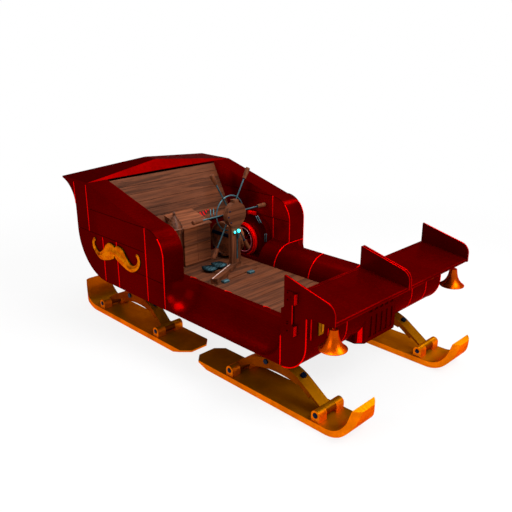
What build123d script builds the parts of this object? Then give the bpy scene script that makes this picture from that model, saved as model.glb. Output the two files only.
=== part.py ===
from build123d import *

import math
import os

os.makedirs("parts", exist_ok=True)

# A sleigh in millimetres: +X forward, +Y left, +Z up, origin on the ground under the middle.

# Body
HALF_WIDTH = 1000
WALL = 240
BODY_BOTTOM = 475
CREST_Z = 740
FLOOR_TOP = 515
BOARD_T = 28
BOARD_W = 120
BOARD_GAP = 4

# Cabin, which stands where its rear tip does
TIP_X = -2023
CABIN_FRONT = TIP_X + 1773
SHOULDER_R = 250
SHOULDER_Z = 1240
HEADER_X = TIP_X + 518
TOP_Z = 1516
FLARE_R = 300
FLARE_Z = 1206
REAR_X = TIP_X + 238
REAR_R = 500
BACK_SKIN = 25
CREST_RISE = 101
CREST_APEX_X = TIP_X + 353
CREST_REAR_APEX_X = TIP_X + 144
CREST_RECESS = 35

# Backrest and bulkhead
BACKREST_TOP = (HEADER_X - 15, TOP_Z - 22)
BACKREST_FOOT = (HEADER_X + 300, 900)
BACKREST_T = 40
BACKREST_PLANKS = 7
BULKHEAD_T = 30
BULKHEAD_TOP_GAP = 22

# Sills
ROLL_R = 250
SCOOP_LIP = 12

# Nose
NOSE_REAR = 1250
NOSE_FRONT = 1510
NOSE_TOP = 976
NOSE_R = 250
CENTRE_HALF = 285
CENTRE_CHAMFER = 60
CENTRE_DEPTH = 200
CENTRE_H = 460
GRILLE_DEPTH = 8
GRILLE_SLOTS = 5
GRILLE_SLOT_W = 46
GRILLE_PITCH = 78
GRILLE_ROWS = ((135, 190), (330, 110))
PLATE_SIZE = (58, 125)
PLATE_T = 8
PLATE_AT = (HALF_WIDTH - 170, 842)

# Trays
TRAY_REAR = 1280
TRAY_FRONT = 1770
TRAY_TOP_REAR = 1070
TRAY_LIP_R = 16
TRAY_SPLIT = 3
FIN_T = 22
FIN_TOP = 1253
FIN_SLOPE = 14
FIN_NOSE_R = 100

# Strap latches, on the outer faces
LATCH_X = 1363
LATCH_PLATE = (108, 88)
LATCH_T = 8
LATCH_UPPER_Z = 1098
LATCH_LOWER_Z = 838
LATCH_EAR = (28, 30)
LATCH_BAR_W = 32

# Bells
BELL_AT = (1687, HALF_WIDTH - 105)
BELL_PIVOT_DROP = 31
BELL_H = 163
BELL_DROP = 36
BELL_MOUTH_R = 112
BELL_CROWN_R = 33
BELL_WALL = 6
BELL_PIN_R = 5
BELL_TAB = (30, 10)
HANGER_CHEEK = 5
HANGER_GAP = 1
CLAPPER_ROD_R = 4
CLAPPER_LEN = 115
CLAPPER_R = 16

# Runners
SKI_Y = HALF_WIDTH - 242
SKI_T = 56
SKI_HEEL = 58
SKI_HEEL_RISE = ((197, 0), (81, 38))
SKI_BEND = 1666
SKI_BEND_R = 272
SKI_BEND_TURN = 76
SKI_STRAIGHT = 84
SKI_HALF = 176
SKI_TIP_HALF = 70
SKI_TIP_ROUND = 190
SKI_HEEL_CUT = 81
PIN_X = (555, 1559)
PIN_Z = 111
PIN_R = 22
PIN_PROUD = 2
BOSS_R = 42
BOSS_LEN = 97
BOSS_GAP = 2
ARCH_HALF = 60
# Points of the arch from the rear pin's axis: outer curve, then inner curve
ARCH_OUTER = ((-20, 32), (215, 186), (445, 236), (605, 226), (751, 170))
ARCH_INNER = ((450, 140), (215, 92), (203, 108), (30, 24))
ARCH_END = (-10, 8)
# How far the arch's middle stands forward between its pins
ARCH_LEAN = {"front": 0, "rear": 60}
LEAF_T = 20
LEAF_STEPS = (26, 16)
LEAF_TAIL = 140
SADDLE = (345, 545)
SADDLE_SINK = 195
BOLT_R = 26
BOLT_HEAD = 12
SIDE_BOLT = (363, 195)
FIT = 0.05

# Double scroll
SCROLL_AT = (TIP_X + 966, 722)
SCROLL_T = 40
# Each row: the point halfway along an arc and the point at its end, from the middle notch outwards
SCROLL_START = (0, 100)
SCROLL_ARCS = (
    ((64, 48), (160, 13)),
    ((282, -2), (383, 48)),
    ((438, 117), (420, 197)),
    ((388, 220), (365, 191)),
    ((372, 173), (391, 168)),
    ((383, 117), (335, 90)),
    ((261, 94), (202, 149)),
    ((128, 220), (64, 232)),
    ((21, 220), (0, 200)),
)

# Helm
POST_FRONT = BACKREST_FOOT[0] + 665
POST_D = 50
POST_Y = 206
POST_W = 130
POST_FOOT_H = 60
HEAD_Z = 1129
HEAD_R = 138
HEAD_PROUD = 18
HEAD_BLOCK = (60, 34)
LEVER_SLOT = (32, 280)
LEVER_SLOT_AT = (20, 757)
LEVER_SLOT_D = 20
LEVER_W = 16
# Each row: sideways place from the post's middle, height and radius of a knob
KNOBS = ((25, 946, 17), (-33, 942, 10))
KNOB_OUT = 20
ARM_H = 10
BASE_T = 14
# Plans on the floor, forward of the post's front
BASE_PLAN = ((-75, 150), (-50, 285), (175, 365), (220, -120))
BEAM_END = (185, -262)
BEAM_W = 80
BLOCKS_AT = ((242, -178), (236, 203))
BLOCK = (50, 74, 28)
PEDALS_AT = ((-108, -92), (-120, 56))
PEDAL_TURN = 30
PEDAL = (196, 112, 14)
PEDAL_RISE = 56
PEDAL_STEM = (36, 8)
HELM_GAP = 6
HUB_R = 72
HUB_T = 48
AXLE_R = 14
AXLE_IN = 38
SPOKE_R = 10
SPOKES = 6
SPOKE_IN = 40
WALL_CLEARANCE = 16
GRIP_END = HALF_WIDTH - WALL - POST_Y - WALL_CLEARANCE
GRIP_LENGTH = 126
SPOKE_END = GRIP_END - GRIP_LENGTH
GRIP_R = 25
GRIP_SOCKET = 42
HELM_RING_R = 195
HELM_RING_TUBE = 8

# Blower drum
DRUM_X = BACKREST_FOOT[0] + 334
DRUM_MOUTH = 135
DRUM_R = 200
DRUM_WALL = 20
FAN_R = 160
FAN_HUB_R = 38
FAN_BLADES = 8
FAN_GAP = 8
FAN_DEPTH = 34
BLADE_T = 5
BLADE_PITCH = 28
BLADE_ROOT = 26
BLADE_W = 34
VOLUTE_OFF = (100, 69)
VOLUTE_R = 247
VOLUTE_T = 78
SPINDLE_R = 12
MOUTH_RING_W = 40
MOUTH_RING_T = 8
CLIP_TURNS = (52, 8)
CLIP = (44, 8, 6)

# Keg on its side
KEG_AT = (BACKREST_FOOT[0] + 329, 752)
KEG_Y = (300, 470)
KEG_R = 200
KEG_RIM = 20
KEG_HEAD_IN = 26
HOOP_T = 3
HOOP_W = 32
HOOP_Y = 50
CHOCK = (70, 110)
CHOCK_OUT = 110

# Locker
LOCKER_FRONT = BACKREST_FOOT[0] + 255
LOCKER_HALF = 190
LOCKER_TOP = 945
LID_T = 26
LID_RISE = 14
LID_NOSE = 12
GROOVE = 5
WING_GAP = 50
DRAWER_LINES = (125, 255, 345)

# Turned post with a conical cap
CAPPED_AT = (BACKREST_FOOT[0] + 305, -355)
CAP_RIM_Z = 1025
CAP_TIP_Z = 1205
CAP_R = 100
CAPPED_R = 76

INNER_Y = HALF_WIDTH - WALL
FLOOR_HALF = INNER_Y - ROLL_R
pieces = {}


def polar(centre, radius, degrees):
    """The point at an angle on a circle, in a sketch's own axes."""
    turn = math.radians(degrees)
    return (centre[0] + radius * math.cos(turn), centre[1] + radius * math.sin(turn))


# Cabin walls
flare_centre = (REAR_X - FLARE_R, FLARE_Z)
flare_turn = math.degrees(math.acos((TIP_X - flare_centre[0]) / FLARE_R))
rear_centre = (REAR_X + REAR_R, BODY_BOTTOM + REAR_R)
shoulder_centre = (CABIN_FRONT - SHOULDER_R, SHOULDER_Z - SHOULDER_R)
with BuildPart() as cabin_wall_left:
    with BuildSketch(Plane.XZ.offset(-INNER_Y)):
        with BuildLine():
            Line((CABIN_FRONT, BODY_BOTTOM), (CABIN_FRONT, shoulder_centre[1]))
            CenterArc(shoulder_centre, SHOULDER_R, 0, 90)
            Polyline(
                (shoulder_centre[0], SHOULDER_Z),
                (HEADER_X, TOP_Z),
                (TIP_X, TOP_Z),
                polar(flare_centre, FLARE_R, flare_turn),
            )
            CenterArc(flare_centre, FLARE_R, 0, flare_turn)
            Line((REAR_X, FLARE_Z), (REAR_X, rear_centre[1]))
            CenterArc(rear_centre, REAR_R, 180, 90)
            Line((rear_centre[0], BODY_BOTTOM), (CABIN_FRONT, BODY_BOTTOM))
        make_face()
    extrude(amount=-WALL)
pieces["cabin_wall_left"] = cabin_wall_left

# Rear skin between the walls, one thickness inside the walls' rear outline
skin_flare_r = FLARE_R + BACK_SKIN
skin_flare_turn = math.degrees(math.asin((TOP_Z - FLARE_Z) / skin_flare_r))
with BuildPart() as cabin_back:
    with BuildSketch(Plane.XZ.offset(-INNER_Y)):
        with BuildLine():
            CenterArc(flare_centre, FLARE_R, 0, flare_turn)
            Polyline(
                polar(flare_centre, FLARE_R, flare_turn),
                (TIP_X, TOP_Z),
                polar(flare_centre, skin_flare_r, skin_flare_turn),
            )
            CenterArc(flare_centre, skin_flare_r, 0, skin_flare_turn)
            Line((REAR_X + BACK_SKIN, FLARE_Z), (REAR_X + BACK_SKIN, rear_centre[1]))
            CenterArc(rear_centre, REAR_R - BACK_SKIN, 180, 90)
            Line(
                (rear_centre[0], BODY_BOTTOM + BACK_SKIN), (rear_centre[0], BODY_BOTTOM)
            )
            CenterArc(rear_centre, REAR_R, 180, 90)
            Line((REAR_X, rear_centre[1]), (REAR_X, FLARE_Z))
        make_face()
    extrude(amount=2 * INNER_Y)
pieces["cabin_back"] = cabin_back

# Gabled crest: half a gable, cut back by its front and rear facets, then mirrored
def facet(origin, along, towards):
    """The plane through a point and two directions from it."""
    side = Vector(*along) - Vector(*origin)
    up = Vector(*towards) - Vector(*origin)
    return Plane(origin=origin, x_dir=side, z_dir=side.cross(up))


front_facet = facet(
    (HEADER_X - CREST_RECESS, 0, TOP_Z),
    (HEADER_X, HALF_WIDTH, TOP_Z),
    (CREST_APEX_X, 0, TOP_Z + CREST_RISE),
)
rear_facet = facet(
    (TIP_X, 0, TOP_Z),
    (TIP_X, HALF_WIDTH, TOP_Z),
    (CREST_REAR_APEX_X, 0, TOP_Z + CREST_RISE),
)
with BuildPart() as crest:
    with BuildSketch(Plane.YZ.offset(TIP_X)):
        Polygon((0, TOP_Z), (HALF_WIDTH, TOP_Z), (0, TOP_Z + CREST_RISE), align=None)
    extrude(amount=HEADER_X - TIP_X)
    split(bisect_by=front_facet, keep=Keep.BOTTOM)
    split(bisect_by=rear_facet, keep=Keep.TOP)
    mirror(about=Plane.XZ)
pieces["crest"] = crest

# Backrest planks, one below the other along the lean
lean_x = BACKREST_TOP[0] - BACKREST_FOOT[0]
lean_z = BACKREST_TOP[1] - BACKREST_FOOT[1]
lean_length = math.hypot(lean_x, lean_z)
lean_face = Plane(
    origin=(BACKREST_FOOT[0], 0, BACKREST_FOOT[1]),
    x_dir=(0, 1, 0),
    z_dir=(lean_z, 0, -lean_x),
)
plank_pitch = lean_length / BACKREST_PLANKS
with BuildPart() as backrest:
    with BuildSketch(lean_face):
        with Locations((0, lean_length / 2)):
            with GridLocations(1, plank_pitch, 1, BACKREST_PLANKS):
                Rectangle(2 * INNER_Y, plank_pitch - BOARD_GAP)
    extrude(amount=-BACKREST_T)
pieces["backrest"] = backrest

# Bulkhead below the backrest, down to the body's bottom
with BuildPart() as bulkhead:
    with BuildSketch(Plane.YZ.offset(BACKREST_FOOT[0] - BULKHEAD_T)):
        Polygon(
            (-INNER_Y, BODY_BOTTOM),
            (INNER_Y, BODY_BOTTOM),
            (INNER_Y, BACKREST_FOOT[1] - BULKHEAD_TOP_GAP),
            (-INNER_Y, BACKREST_FOOT[1] - BULKHEAD_TOP_GAP),
            align=None,
        )
    extrude(amount=BULKHEAD_T)
pieces["bulkhead"] = bulkhead

# Floor pan under the boards, and its wings in the cabin, cut round the blower
floor_length = NOSE_REAR - BACKREST_FOOT[0]
roll_rear = CABIN_FRONT - SHOULDER_R
drum_y = INNER_Y - DRUM_MOUTH
drum_z = BODY_BOTTOM + 1 + DRUM_R
drum_plane = Plane(origin=(DRUM_X, drum_y, drum_z), x_dir=(1, 0, 0), z_dir=(0, 1, 0))
volute_plane = drum_plane.offset(DRUM_MOUTH - VOLUTE_T)
volute_centre = (VOLUTE_OFF[0], -VOLUTE_OFF[1])
with BuildPart() as floor_pan:
    with BuildSketch(Plane.XY.offset(BODY_BOTTOM)):
        with Locations(((roll_rear + BACKREST_FOOT[0]) / 2, (FLOOR_HALF + WING_GAP + INNER_Y) / 2)):
            Rectangle(roll_rear - BACKREST_FOOT[0], INNER_Y - FLOOR_HALF - WING_GAP)
    extrude(amount=FLOOR_TOP - BODY_BOTTOM)
    mirror(about=Plane.XZ)
    with BuildSketch(drum_plane):
        Circle(DRUM_R + FIT)
    extrude(amount=DRUM_MOUTH, mode=Mode.SUBTRACT)
    with BuildSketch(volute_plane):
        with Locations(volute_centre):
            Circle(VOLUTE_R + FIT)
    extrude(amount=VOLUTE_T, mode=Mode.SUBTRACT)
    with BuildSketch(Plane.XY.offset(BODY_BOTTOM)):
        with Locations(((NOSE_REAR + BACKREST_FOOT[0]) / 2, 0)):
            Rectangle(floor_length, 2 * FLOOR_HALF)
    extrude(amount=FLOOR_TOP - BOARD_T - BODY_BOTTOM)
pieces["floor_pan"] = floor_pan

# Planks of the floor

boards = int(floor_length // (BOARD_W + BOARD_GAP))
board_pitch = floor_length / boards
with BuildPart() as floor_boards:
    with BuildSketch(Plane.XY.offset(FLOOR_TOP - BOARD_T)):
        with Locations(((NOSE_REAR + BACKREST_FOOT[0]) / 2, 0)):
            with GridLocations(board_pitch, 1, boards, 1):
                Rectangle(board_pitch - BOARD_GAP, 2 * FLOOR_HALF - 2)
    extrude(amount=BOARD_T)
pieces["floor_boards"] = floor_boards

# Sills: a convex roll inside, and outside a scoop with a rounded bottom and ball-shaped ends
roll_centre = (INNER_Y, CREST_Z - ROLL_R)
scoop_z = BODY_BOTTOM + SCOOP_LIP + WALL
with BuildPart() as sill_left:
    with BuildSketch(Plane.YZ.offset(roll_rear)):
        with BuildLine():
            Polyline(
                (INNER_Y, CREST_Z),
                (INNER_Y, BODY_BOTTOM),
                (INNER_Y - ROLL_R, BODY_BOTTOM),
                (INNER_Y - ROLL_R, roll_centre[1]),
            )
            CenterArc(roll_centre, ROLL_R, 90, 90)
        make_face()
    extrude(amount=NOSE_REAR - roll_rear)
    with BuildSketch(Plane.YZ.offset(CABIN_FRONT)):
        with Locations(((INNER_Y + HALF_WIDTH) / 2, (BODY_BOTTOM + CREST_Z) / 2)):
            Rectangle(WALL, CREST_Z - BODY_BOTTOM)
    extrude(amount=NOSE_REAR - CABIN_FRONT)
    scoop_ends = (CABIN_FRONT + WALL, NOSE_REAR - WALL)
    scoop_mid = (scoop_ends[0] + scoop_ends[1]) / 2
    with BuildSketch(Plane.XY.offset(scoop_z)):
        with Locations((scoop_mid, HALF_WIDTH)):
            SlotCenterToCenter(scoop_ends[1] - scoop_ends[0], 2 * WALL)
    extrude(amount=CREST_Z - scoop_z, mode=Mode.SUBTRACT)
    with Locations(Plane(origin=(scoop_mid, HALF_WIDTH, scoop_z), z_dir=(1, 0, 0))):
        Cylinder(WALL, scoop_ends[1] - scoop_ends[0], mode=Mode.SUBTRACT)
    with Locations(*[(x, HALF_WIDTH, scoop_z) for x in scoop_ends]):
        Sphere(WALL, mode=Mode.SUBTRACT)
pieces["sill_left"] = sill_left

# Nose block with a rounded underside, notched for its ribbed centre block
nose_round = (NOSE_FRONT - NOSE_R, BODY_BOTTOM + NOSE_R)
centre_back = NOSE_FRONT - CENTRE_DEPTH
centre_plan = [
    (centre_back, -CENTRE_HALF),
    (NOSE_FRONT - CENTRE_CHAMFER, -CENTRE_HALF),
    (NOSE_FRONT, -CENTRE_HALF + CENTRE_CHAMFER),
    (NOSE_FRONT, CENTRE_HALF - CENTRE_CHAMFER),
    (NOSE_FRONT - CENTRE_CHAMFER, CENTRE_HALF),
    (centre_back, CENTRE_HALF),
]
with BuildPart() as nose_block:
    with BuildSketch(Plane.XZ.offset(-HALF_WIDTH)):
        with BuildLine():
            Polyline(
                (nose_round[0], BODY_BOTTOM),
                (NOSE_REAR, BODY_BOTTOM),
                (NOSE_REAR, NOSE_TOP),
                (NOSE_FRONT, NOSE_TOP),
                (NOSE_FRONT, nose_round[1]),
            )
            CenterArc(nose_round, NOSE_R, 270, 90)
        make_face()
    extrude(amount=2 * HALF_WIDTH)
    with BuildSketch(Plane.XY.offset(BODY_BOTTOM)):
        Polygon(*centre_plan, align=None)
    extrude(amount=CENTRE_H, mode=Mode.SUBTRACT)
pieces["nose_block"] = nose_block

# Centre block: tall slots below, a row of short slots above
with BuildPart() as nose_centre:
    with BuildSketch(Plane.XY.offset(BODY_BOTTOM)):
        Polygon(*centre_plan, align=None)
    extrude(amount=CENTRE_H)
    with BuildSketch(Plane.YZ.offset(NOSE_FRONT)):
        for row_z, slot_h in GRILLE_ROWS:
            with Locations((0, BODY_BOTTOM + row_z)):
                with GridLocations(GRILLE_PITCH, 1, GRILLE_SLOTS, 1):
                    Rectangle(GRILLE_SLOT_W, slot_h)
    extrude(amount=-GRILLE_DEPTH, mode=Mode.SUBTRACT)
pieces["nose_centre"] = nose_centre

with BuildPart() as nose_plates:
    with BuildSketch(Plane.YZ.offset(NOSE_FRONT)):
        with Locations((PLATE_AT[0], PLATE_AT[1]), (-PLATE_AT[0], PLATE_AT[1])):
            Rectangle(*PLATE_SIZE)
    extrude(amount=PLATE_T)
pieces["nose_plates"] = nose_plates

# Trays: a tapering slab that overhangs the nose, with a fin at each end
lip_top = NOSE_TOP + 2 * TRAY_LIP_R
with BuildPart() as tray_left:
    with BuildSketch(Plane.XZ.offset(-TRAY_SPLIT - FIN_T)):
        with BuildLine():
            Polyline(
                (TRAY_FRONT - TRAY_LIP_R, NOSE_TOP),
                (TRAY_REAR, NOSE_TOP),
                (TRAY_REAR, TRAY_TOP_REAR),
                (TRAY_FRONT - TRAY_LIP_R, lip_top),
            )
            CenterArc(
                (TRAY_FRONT - TRAY_LIP_R, NOSE_TOP + TRAY_LIP_R), TRAY_LIP_R, -90, 180
            )
        make_face()
    extrude(amount=-(HALF_WIDTH - 2 * FIN_T - TRAY_SPLIT))
pieces["tray_left"] = tray_left

fin_drop = (TRAY_FRONT - TRAY_REAR) * math.tan(math.radians(FIN_SLOPE))
with BuildPart() as fins_left:
    for fin_y in (TRAY_SPLIT, HALF_WIDTH - FIN_T):
        with BuildSketch(Plane.XZ.offset(-fin_y)):
            outline = Polygon(
                (TRAY_REAR, NOSE_TOP),
                (TRAY_FRONT, NOSE_TOP),
                (TRAY_FRONT, FIN_TOP - fin_drop),
                (TRAY_REAR, FIN_TOP),
                align=None,
            )
            nose_corner = outline.vertices().sort_by(Axis.X)[-2:].sort_by(Axis.Y)[-1]
            fillet(nose_corner, FIN_NOSE_R)
        extrude(amount=-FIN_T)
pieces["fins_left"] = fins_left

# Strap latches: a plate with a raised ear on fin and nose, and a flat bar between
with BuildPart() as latch_plates_left:
    for plate_z in (LATCH_UPPER_Z, LATCH_LOWER_Z):
        with BuildSketch(Plane.XZ.offset(-HALF_WIDTH)):
            with Locations((LATCH_X, plate_z)):
                Rectangle(*LATCH_PLATE)
        extrude(amount=-LATCH_T)
        with BuildSketch(Plane.XZ.offset(-HALF_WIDTH - LATCH_T)):
            with Locations((LATCH_X + (LATCH_PLATE[0] - LATCH_EAR[0]) / 2, plate_z)):
                Rectangle(LATCH_EAR[0], LATCH_PLATE[1])
        extrude(amount=-LATCH_EAR[1])
pieces["latch_plates_left"] = latch_plates_left

with BuildPart() as latch_bar_left:
    with BuildSketch(Plane.XZ.offset(-HALF_WIDTH - LATCH_T)):
        with Locations((LATCH_X, (LATCH_UPPER_Z + LATCH_LOWER_Z) / 2)):
            Rectangle(LATCH_BAR_W, LATCH_UPPER_Z - LATCH_LOWER_Z)
    extrude(amount=-LATCH_T)
pieces["latch_bar_left"] = latch_bar_left

# Bells: a hollow flared body with a tab, hung by a pin between two cheeks, with a clapper inside
pivot_z = NOSE_TOP - BELL_PIVOT_DROP
crown_z = pivot_z - BELL_DROP
mouth_z = crown_z - BELL_H
bell_plane = Plane(origin=(BELL_AT[0], BELL_AT[1], mouth_z), x_dir=(1, 0, 0), z_dir=(0, -1, 0))
with BuildPart() as bell_left:
    with BuildSketch(bell_plane):
        with BuildLine():
            ThreePointArc(
                (BELL_MOUTH_R, BELL_WALL),
                (0.58 * BELL_MOUTH_R, 0.33 * BELL_H),
                (BELL_CROWN_R + 8, 0.72 * BELL_H),
            )
            Polyline(
                (BELL_CROWN_R + 8, 0.72 * BELL_H),
                (BELL_CROWN_R, BELL_H),
                (0, BELL_H),
                (0, BELL_H - BELL_WALL),
                (BELL_CROWN_R - BELL_WALL, BELL_H - BELL_WALL),
                (BELL_CROWN_R + 8 - BELL_WALL, 0.72 * BELL_H),
            )
            ThreePointArc(
                (BELL_CROWN_R + 8 - BELL_WALL, 0.72 * BELL_H),
                (0.58 * BELL_MOUTH_R - BELL_WALL, 0.33 * BELL_H),
                (BELL_MOUTH_R - BELL_WALL, 0),
            )
            Polyline(
                (BELL_MOUTH_R - BELL_WALL, 0), (BELL_MOUTH_R, 0), (BELL_MOUTH_R, BELL_WALL)
            )
        make_face()
    revolve(axis=Axis((BELL_AT[0], BELL_AT[1], 0), (0, 0, 1)))
    tab_h = BELL_DROP + BELL_TAB[0] / 2
    with BuildSketch(Plane.XY.offset(crown_z)):
        with Locations(BELL_AT):
            Rectangle(BELL_TAB[1], BELL_TAB[0])
    extrude(amount=tab_h)
    with Locations(Plane(origin=(BELL_AT[0], BELL_AT[1], pivot_z), z_dir=(1, 0, 0))):
        Cylinder(BELL_PIN_R + FIT, 4 * BELL_TAB[1], mode=Mode.SUBTRACT)
pieces["bell_left"] = bell_left

with BuildPart() as clapper_left:
    rod_top = crown_z - BELL_WALL
    with BuildSketch(Plane.XY.offset(rod_top)):
        with Locations(BELL_AT):
            Circle(CLAPPER_ROD_R)
    extrude(amount=-CLAPPER_LEN)
    with Locations((BELL_AT[0], BELL_AT[1], rod_top - CLAPPER_LEN)):
        Sphere(CLAPPER_R)
pieces["clapper_left"] = clapper_left

cheek_x = BELL_TAB[1] / 2 + HANGER_GAP + HANGER_CHEEK / 2
with BuildPart() as bell_hanger_left:
    with BuildSketch(Plane.XY.offset(pivot_z - BELL_TAB[1])):
        with Locations((BELL_AT[0] - cheek_x, BELL_AT[1]), (BELL_AT[0] + cheek_x, BELL_AT[1])):
            Rectangle(HANGER_CHEEK, BELL_TAB[0])
    extrude(amount=NOSE_TOP - pivot_z + BELL_TAB[1])
    with BuildSketch(Plane.XY.offset(NOSE_TOP - HANGER_CHEEK)):
        with Locations(BELL_AT):
            Rectangle(2 * cheek_x + HANGER_CHEEK, BELL_TAB[0])
    extrude(amount=HANGER_CHEEK)
    with Locations(Plane(origin=(BELL_AT[0], BELL_AT[1], pivot_z), z_dir=(1, 0, 0))):
        Cylinder(BELL_PIN_R, 2 * cheek_x + HANGER_CHEEK)
pieces["bell_hanger_left"] = bell_hanger_left

# Skis: flat sole, turned-up tip, cut heel corners, and a pair of bosses for each cross pin
tip_turn = math.radians(SKI_BEND_TURN)
tip_run = (SKI_STRAIGHT * math.cos(tip_turn), SKI_STRAIGHT * math.sin(tip_turn))
bend_centre = (SKI_BEND, SKI_BEND_R)
sole_end = polar(bend_centre, SKI_BEND_R, 270 + SKI_BEND_TURN)
top_end = polar(bend_centre, SKI_BEND_R - SKI_T, 270 + SKI_BEND_TURN)
tip_sole = (sole_end[0] + tip_run[0], sole_end[1] + tip_run[1])
tip_top = (top_end[0] + tip_run[0], top_end[1] + tip_run[1])
boss_y = ARCH_HALF + BOSS_GAP + BOSS_LEN / 2
with BuildPart() as ski_front_left:
    with BuildSketch(Plane.XZ.offset(-SKI_Y - SKI_HALF)):
        with BuildLine():
            Line((SKI_HEEL + SKI_HEEL_RISE[0][0], 0), (SKI_BEND, 0))
            CenterArc(bend_centre, SKI_BEND_R, 270, SKI_BEND_TURN)
            Polyline(sole_end, tip_sole, tip_top, top_end)
            CenterArc(bend_centre, SKI_BEND_R - SKI_T, 270, SKI_BEND_TURN)
            Polyline(
                (SKI_BEND, SKI_T),
                (SKI_HEEL, SKI_T),
                (SKI_HEEL, SKI_HEEL_RISE[1][1]),
                (SKI_HEEL + SKI_HEEL_RISE[1][0], SKI_HEEL_RISE[1][1]),
                (SKI_HEEL + SKI_HEEL_RISE[0][0], 0),
            )
        make_face()
    extrude(amount=2 * SKI_HALF)
    with BuildSketch(Plane.XY):
        with BuildLine():
            round_from = tip_sole[0] - SKI_TIP_ROUND
            round_half = (SKI_HALF - SKI_TIP_HALF) * math.sqrt(0.5)
            near, far = SKI_Y - SKI_HALF, SKI_Y + SKI_HALF
            Polyline(
                (round_from, near),
                (SKI_HEEL + SKI_HEEL_CUT, near),
                (SKI_HEEL, near + SKI_HEEL_CUT),
                (SKI_HEEL, far - SKI_HEEL_CUT),
                (SKI_HEEL + SKI_HEEL_CUT, far),
                (round_from, far),
            )
            for side in (-1, 1):
                ThreePointArc(
                    (round_from, SKI_Y + side * SKI_HALF),
                    (
                        round_from + SKI_TIP_ROUND * math.sqrt(0.5),
                        SKI_Y + side * (SKI_TIP_HALF + round_half),
                    ),
                    (tip_sole[0], SKI_Y + side * SKI_TIP_HALF),
                )
            Line((tip_sole[0], SKI_Y - SKI_TIP_HALF), (tip_sole[0], SKI_Y + SKI_TIP_HALF))
        make_face()
    extrude(amount=tip_top[1] + SKI_T, mode=Mode.INTERSECT)
    for boss_side in (-1, 1):
        with BuildSketch(Plane.XZ.offset(-SKI_Y - boss_side * boss_y - BOSS_LEN / 2)):
            for pin_x in PIN_X:
                with Locations((pin_x, (PIN_Z + SKI_T) / 2)):
                    Rectangle(2 * BOSS_R, PIN_Z - SKI_T)
                with Locations((pin_x, PIN_Z)):
                    Circle(BOSS_R)
        extrude(amount=BOSS_LEN)
    with BuildSketch(Plane.XZ.offset(-SKI_Y - SKI_HALF)):
        with Locations(*[(pin_x, PIN_Z) for pin_x in PIN_X]):
            Circle(PIN_R + FIT)
    extrude(amount=2 * SKI_HALF, mode=Mode.SUBTRACT)

# Arches like a sprung strap: a thick rear leg, a thin front leg with stepped leaves, an eye round
# each pin, and a saddle up to the body's bottom
def from_pin(point):
    """A point given from the rear pin's axis, in the side view."""
    return (PIN_X[0] + point[0], PIN_Z + point[1])


arches = {}
for row, lean in ARCH_LEAN.items():
    outer = [from_pin(ARCH_OUTER[0]), *[from_pin((x + lean, z)) for x, z in ARCH_OUTER[1:]]]
    inner = [*[from_pin((x + lean, z)) for x, z in ARCH_INNER[:-1]], from_pin(ARCH_INNER[-1])]
    knee = Vector(*outer[-1])
    strap_end = Vector(PIN_X[1] + ARCH_END[0], PIN_Z + ARCH_END[1])
    strap_run = (strap_end - knee).normalized()
    strap_down = Vector(strap_run.Y, -strap_run.X)
    second_leaf = strap_end + strap_down * LEAF_T - strap_run * LEAF_TAIL
    third_leaf = knee + strap_down * (LEAF_T + LEAF_STEPS[0])
    third_end = third_leaf + strap_down * LEAF_STEPS[1]
    with BuildPart() as arch_left:
        with BuildSketch(Plane.XZ.offset(-SKI_Y - ARCH_HALF)):
            with BuildLine():
                ThreePointArc(*outer[:3])
                ThreePointArc(*outer[2:])
                Polyline(
                    knee,
                    strap_end,
                    strap_end + strap_down * LEAF_T,
                    second_leaf,
                    second_leaf + strap_down * LEAF_STEPS[0],
                    third_leaf,
                    third_end,
                )
                ThreePointArc(third_end, *inner[:2])
                Polyline(*inner[1:], outer[0])
            make_face()
            saddle_low = PIN_Z + SADDLE_SINK
            with Locations(
                (PIN_X[0] + lean + (SADDLE[0] + SADDLE[1]) / 2, (saddle_low + BODY_BOTTOM) / 2)
            ):
                Rectangle(SADDLE[1] - SADDLE[0], BODY_BOTTOM - saddle_low)
            with Locations(*[(pin_x, PIN_Z) for pin_x in PIN_X]):
                Circle(BOSS_R)
                Circle(PIN_R + FIT, mode=Mode.SUBTRACT)
        extrude(amount=2 * ARCH_HALF)
    # A bolt head on the outer side, and one on the top face in front, seated on the outer curve
    with BuildPart() as bolts_left:
        with BuildSketch(Plane.XZ.offset(-SKI_Y - ARCH_HALF)):
            with Locations(from_pin((SIDE_BOLT[0] + lean, SIDE_BOLT[1]))):
                RegularPolygon(BOLT_R, 6)
        extrude(amount=-BOLT_HEAD)
        with BuildSketch(
            Plane(
                origin=(knee.X - BOLT_R, SKI_Y, knee.Y),
                x_dir=(0, 1, 0),
                z_dir=(-strap_down.X, 0, -strap_down.Y),
            )
        ):
            RegularPolygon(BOLT_R, 6)
        extrude(amount=BOLT_R + BOLT_HEAD)
        add(arch_left.part, mode=Mode.SUBTRACT)
    arches[row] = (arch_left, bolts_left)

with BuildPart() as pins_front_left:
    with BuildSketch(Plane.XZ.offset(-SKI_Y - boss_y - BOSS_LEN / 2 - PIN_PROUD)):
        with Locations(*[(pin_x, PIN_Z) for pin_x in PIN_X]):
            Circle(PIN_R)
    extrude(amount=2 * boss_y + BOSS_LEN + 2 * PIN_PROUD)

# Double scroll on the outer side, an outline of arcs
with BuildPart() as scroll_left:
    with BuildSketch(Plane(origin=(SCROLL_AT[0], HALF_WIDTH, SCROLL_AT[1]), x_dir=(1, 0, 0), z_dir=(0, -1, 0))):
        with BuildLine():
            start = SCROLL_START
            for through, end in SCROLL_ARCS:
                ThreePointArc(start, through, end)
                start = end
            Line(start, SCROLL_START)
        make_face()
        mirror(about=Plane.YZ)
    extrude(amount=-SCROLL_T)
pieces["scroll_left"] = scroll_left

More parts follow.
